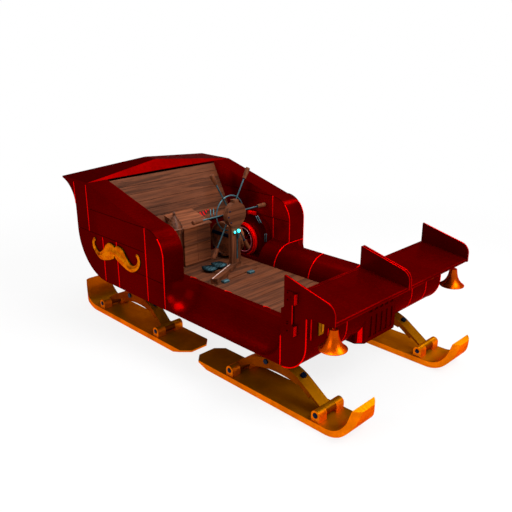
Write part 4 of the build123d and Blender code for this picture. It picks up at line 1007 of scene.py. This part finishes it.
class DressCab(bpy.types.Operator):
    """The turned post, leaf pedals, keg's strap, locker's rails, a painted highlight on the beam's
    edge and the striped tag.
    """

    bl_idname = "sleigh.dress_cab"
    bl_label = "Dress the cab"

    # Each row: radius, height in metres
    POST = (
        (0.09, 0.515), (0.09, 0.552), (0.086, 0.562), (0.076, 0.57), (0.076, 0.955),
        (0.082, 0.968), (0.09, 0.985), (0.09, 1.005), (0.097, 1.009), (0.101, 1.016),
        (0.101, 1.024), (0.09, 1.03), (0.088, 1.036), (0.077, 1.062), (0.072, 1.064),
        (0.06, 1.092), (0.055, 1.094), (0.044, 1.118), (0.039, 1.12), (0.026, 1.148),
        (0.02, 1.151), (0.014, 1.164), (0.016, 1.172), (0.017, 1.178), (0.014, 1.188),
        (0.008, 1.197), (0.003, 1.204),
    )
    PEDALS = ((-0.648, -0.092), (-0.66, 0.056))
    PEDAL_TURN = 30
    PEDAL_FOOT = ((0.018, 0), (0.018, 0.022), (0.012, 0.03))
    BEAM_AT = (SHIFT - 0.547, 0.206, FLOOR_TOP + 0.06)
    BEAM_HALF = 0.0375
    BEAM_RUN = (0.21, -0.468, 0)
    TAG = ((0.262, 0.108), (0.44, 0.122), (0.318, 0.036))
    TAG_FACES = (((0, 1, 2), (5, 4, 3)), ((0, 3, 4, 1), (1, 4, 5, 2), (2, 5, 3, 0)))

    def turned_post(self):
        low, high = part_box("capped_post")
        at = ((low.x + high.x) / 2, (low.y + high.y) / 2, 0)
        post = piece(
            "turned_post", [turned(self.POST, at, Z, 48)], varnished_wood(),
            replaces=("capped_post",),
        )
        post.data.set_sharp_from_angle(angle=math.radians(24))

    def leaf(self, at):
        """A pedal, half wide times (1 - (s / reach)^2)^0.8 at s, tilted, with ribs like veins."""
        along, across = np.linspace(-1, 1, 41)[:, None], np.linspace(-1, 1, 21)[None, :]
        reach, half, tilt = 0.094, 0.048, 0.034
        width = half * np.clip(1 - along**2, 0, 1) ** 0.8
        s, t = reach * along + 0 * across, width * across
        veins = 0.003 * np.abs(np.sin(2.5 * np.pi * (along + 0.5 * np.abs(across))))
        spine = 0.005 * np.exp(-((across / 0.12) ** 2)) * (1 - along**2)
        rise = tilt * (t + half) / (2 * half) + 0.01 * (1 - across**2)
        top = 0.03 + rise + veins * (1 - across**2) + spine
        low = 0.016 + rise
        ahead = outward(self.PEDAL_TURN, (X, Y))
        spot = np.asarray(at) + s[..., None] * ahead + t[..., None] * np.cross(Z, ahead)
        upper, under = (spot + level[..., None] * Z for level in (top, low))
        return skin(np.concatenate((upper, under[:, ::-1]), 1))

    def pedals(self):
        parts = []
        for x, y in self.PEDALS:
            spot = (SHIFT + x, y, FLOOR_TOP)
            parts += [self.leaf(spot), turned(self.PEDAL_FOOT, spot, Z, 20)]
        dark = steel("pedal_steel", (0.009, 0.024, 0.03), 0.3)
        piece("leaf_pedals", parts, dark, replaces=("pedals",))

    def keg_strap(self):
        low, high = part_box("keg")
        x, z, radius = (low.x + high.x) / 2, (low.z + high.z) / 2, (high.z - low.z) / 2 - 0.01
        strap_low, strap_high = z + 0.04, z + 0.084
        half = math.sqrt(radius**2 - (strap_high - z) ** 2)
        band = (x - half, low.y - 0.005, strap_low), (x + half, low.y + 0.001, strap_high)
        strap = [cushioned_box(*band, 0.003)]
        for turn in (222, 258, 12):
            spot = np.array((x, low.y, z)) + radius * outward(turn)
            clip = spot - (0.012, 0.008, 0.014), spot + (0.012, 0.002, 0.014)
            strap.append(cushioned_box(*clip, 0.004))
        piece("keg_strap", strap, navy_steel())

    def locker_rails(self):
        low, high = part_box("locker_body")
        rails = []
        for z in (low.z + 0.25, low.z + 0.02):
            end = (high.x + 0.008, high.y - 0.004, z + 0.007)
            rails.append(cushioned_box((high.x - 0.001, low.y + 0.004, z - 0.007), end, 0.004))
        piece("locker_rails", rails, wood("wood_locker", "Y", 1.7))

    def beam_edge(self):
        ahead = unit(self.BEAM_RUN)
        corner = np.array(self.BEAM_AT) - self.BEAM_HALF * np.cross(Z, ahead) - 0.002 * Z
        edge = np.linspace(corner + 0.075 * ahead, corner + 0.545 * ahead, 12)
        # Painted highlight along the beam's front edge
        piece("beam_edge", [bead(edge, 0.0052, Z)], painted_edge_highlight())

    def tag(self):
        slope = unit(BACKREST_TOP - BACKREST_FOOT)
        out = np.cross(Y, slope)
        face = [BACKREST_FOOT + y * Y + up * slope for y, up in self.TAG]
        shape = [point + proud * out for proud in (-0.001, 0.004) for point in face]
        flag = (np.array(shape), [np.array(block) for block in self.TAG_FACES])
        piece("striped_tag", [flag], striped_red(), smooth=False)
        bars = []
        for y in (0.428, 0.476):
            low = BACKREST_FOOT + y * Y + 0.028 * slope + 0.006 * out
            bars.append(bead(np.linspace(low, low + 0.085 * slope + 0.03 * Y, 4), 0.007, out))
        piece("tag_bars", bars, blued_steel())

    def execute(self, context):
        self.turned_post()
        self.pedals()
        self.keg_strap()
        self.locker_rails()
        self.beam_edge()
        self.tag()
        return {"FINISHED"}


class TrimRunners(bpy.types.Operator):
    """Domed caps on the outer ends of the ski pins."""

    bl_idname = "sleigh.trim_runners"
    bl_label = "Trim the runners"

    PINS = (-1.559, -0.555, 0.555, 1.559)
    PIN_Z = 0.111
    DOME = ((0.024, -0.001), (0.024, 0.002), (0.02, 0.005), (0.012, 0.007), (0.003, 0.0078))

    def execute(self, context):
        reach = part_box("ski_pins")[1].y
        caps = [
            turned(self.DOME, (SHIFT + pin, sign * reach, self.PIN_Z), (0, sign, 0), 24)
            for pin in self.PINS
            for _, sign in SIDES
        ]
        piece("pin_caps", caps, navy_steel())
        return {"FINISHED"}


class SetStage(bpy.types.Operator):
    """A pale floor, soft lamps, a pale world and the camera at the photograph's angle."""

    bl_idname = "sleigh.set_stage"
    bl_label = "Set the stage"

    CAMERA_AT = (4.1996, -4.2216, 2.937)
    CAMERA_TURN = (70.583, 0, 45)
    LAMP_AIM = (0, 0, 0.7)
    FLOOR_R = 60
    FLOOR_Z = -0.0005
    GLOW_REACH = (2.6, 7)

    def floor(self, stage):
        """Plain near the sleigh, so that it keeps the shadow, and white of its own far out."""
        ring = circle(96) * self.FLOOR_R
        mesh = bpy.data.meshes.new("stage_floor")
        mesh.from_pydata([(x, y, self.FLOOR_Z) for x, y in ring.tolist()], [], [list(range(96))])
        floor = bpy.data.objects.new("stage_floor", mesh)
        bpy.context.scene.collection.objects.link(floor)
        mix = Recipe("floor_white")
        paths = mix.add("ShaderNodeLightPath").outputs
        seen = mix.times(paths["Is Camera Ray"], paths["Is Glossy Ray"], "MAXIMUM")
        seen = mix.times(seen, paths["Is Transmission Ray"], "MAXIMUM")
        plain = mix.finish(stage.floor, 0.9, Specular_IOR_Level=0.1)
        white = mix.fill(mix.add("ShaderNodeEmission"), Color=(1, 1, 1))
        away = mix.fill(mix.add("ShaderNodeVectorMath", operation="LENGTH"), mix.place)
        own_light = mix.spread(away.outputs["Value"], *self.GLOW_REACH, stage.glow, 1)
        shaders = mix.shader.outputs["BSDF"], white.outputs[0]
        mix.put(mix.mixed(mix.times(seen, own_light), *shaders), mix.out)
        mesh.materials.append(plain)

    def world(self, scene, stage):
        """White to the camera, and dimmer as a light."""
        scene.world = bpy.data.worlds.new("pale_world")
        nodes = Nodes(scene.world)
        seen = nodes.add("ShaderNodeLightPath").outputs["Is Camera Ray"]
        whites = [
            nodes.fill(nodes.add("ShaderNodeBackground"), (1, 1, 1), strength).outputs[0]
            for strength in (stage.world, 1)
        ]
        nodes.fill(nodes.add("ShaderNodeOutputWorld"), nodes.mixed(seen, *whites))

    def lamps(self, scene, stage):
        """Each lamp: name, place, size, power. Those called sparkle give no diffuse light."""
        lamps = (
            ("key_lamp", (5, 1.2, 5.2), 3.2, stage.key),
            ("fill_lamp", (0.5, -6.5, 3.4), 4, stage.fill),
            ("top_lamp", (-1, 0.5, 6.5), 4, stage.top),
            ("sparkle_scoop", (0.86, -0.38, 7.45), 3.8, stage.sparkle * 9),
            ("sparkle_drum", (1.25, 10, 10.9), 2.6, stage.sparkle * 5.6),
        )
        for name, at, size, power in lamps:
            lamp = bpy.data.lights.new(name, "AREA")
            lamp.size = size
            lamp.energy = power
            made = bpy.data.objects.new(name, lamp)
            made.visible_diffuse = not name.startswith("sparkle")
            made.location = at
            aim = Vector(self.LAMP_AIM) - Vector(at)
            made.rotation_euler = aim.to_track_quat("-Z", "Y").to_euler()
            scene.collection.objects.link(made)

    def execute(self, context):
        scene = context.scene
        stage = scene.sleigh_stage
        scene.view_settings.view_transform = "Standard"
        self.floor(stage)
        self.world(scene, stage)
        self.lamps(scene, stage)
        camera = bpy.data.cameras.new("view")
        camera.angle = stage.view
        made = bpy.data.objects.new("view", camera)
        made.location = np.array(self.CAMERA_AT) + SHIFT * X
        made.rotation_euler = [math.radians(each) for each in self.CAMERA_TURN]
        scene.collection.objects.link(made)
        scene.camera = made
        return {"FINISHED"}


class SleighPanel(bpy.types.Panel):
    """Lists the steps that finish the sleigh."""

    bl_idname = "VIEW3D_PT_sleigh"
    bl_label = "Sleigh"
    bl_space_type = "VIEW_3D"
    bl_region_type = "UI"
    bl_category = "Sleigh"

    def draw(self, context):
        for step in STEPS:
            self.layout.operator(step.bl_idname)


SETTINGS = {
    "sleigh_paint": SleighPaint, "sleigh_wood": SleighWood, "sleigh_metal": SleighMetal,
    "sleigh_trim": SleighTrim, "sleigh_stage": SleighStage,
}
STEPS = (
    SetStage, PaintBody, FinishWood, FinishMetal, LayWallSeams, LaySillSeams, TrimNose, FitLatches,
    CarveScrolls, TurnHelm, FitBlower, DressCab, TrimRunners,
)


def register():
    for name, group in SETTINGS.items():
        bpy.utils.register_class(group)
        setattr(bpy.types.Scene, name, bpy.props.PointerProperty(type=group))
    for each in (*STEPS, SleighPanel):
        bpy.utils.register_class(each)


def unregister():
    for each in reversed((*STEPS, SleighPanel)):
        bpy.utils.unregister_class(each)
    for name, group in SETTINGS.items():
        delattr(bpy.types.Scene, name)
        bpy.utils.unregister_class(group)


def main():
    register()
    for step in STEPS:
        group, action = step.bl_idname.split(".")
        getattr(getattr(bpy.ops, group), action)()


if __name__ == "__main__":
    main()
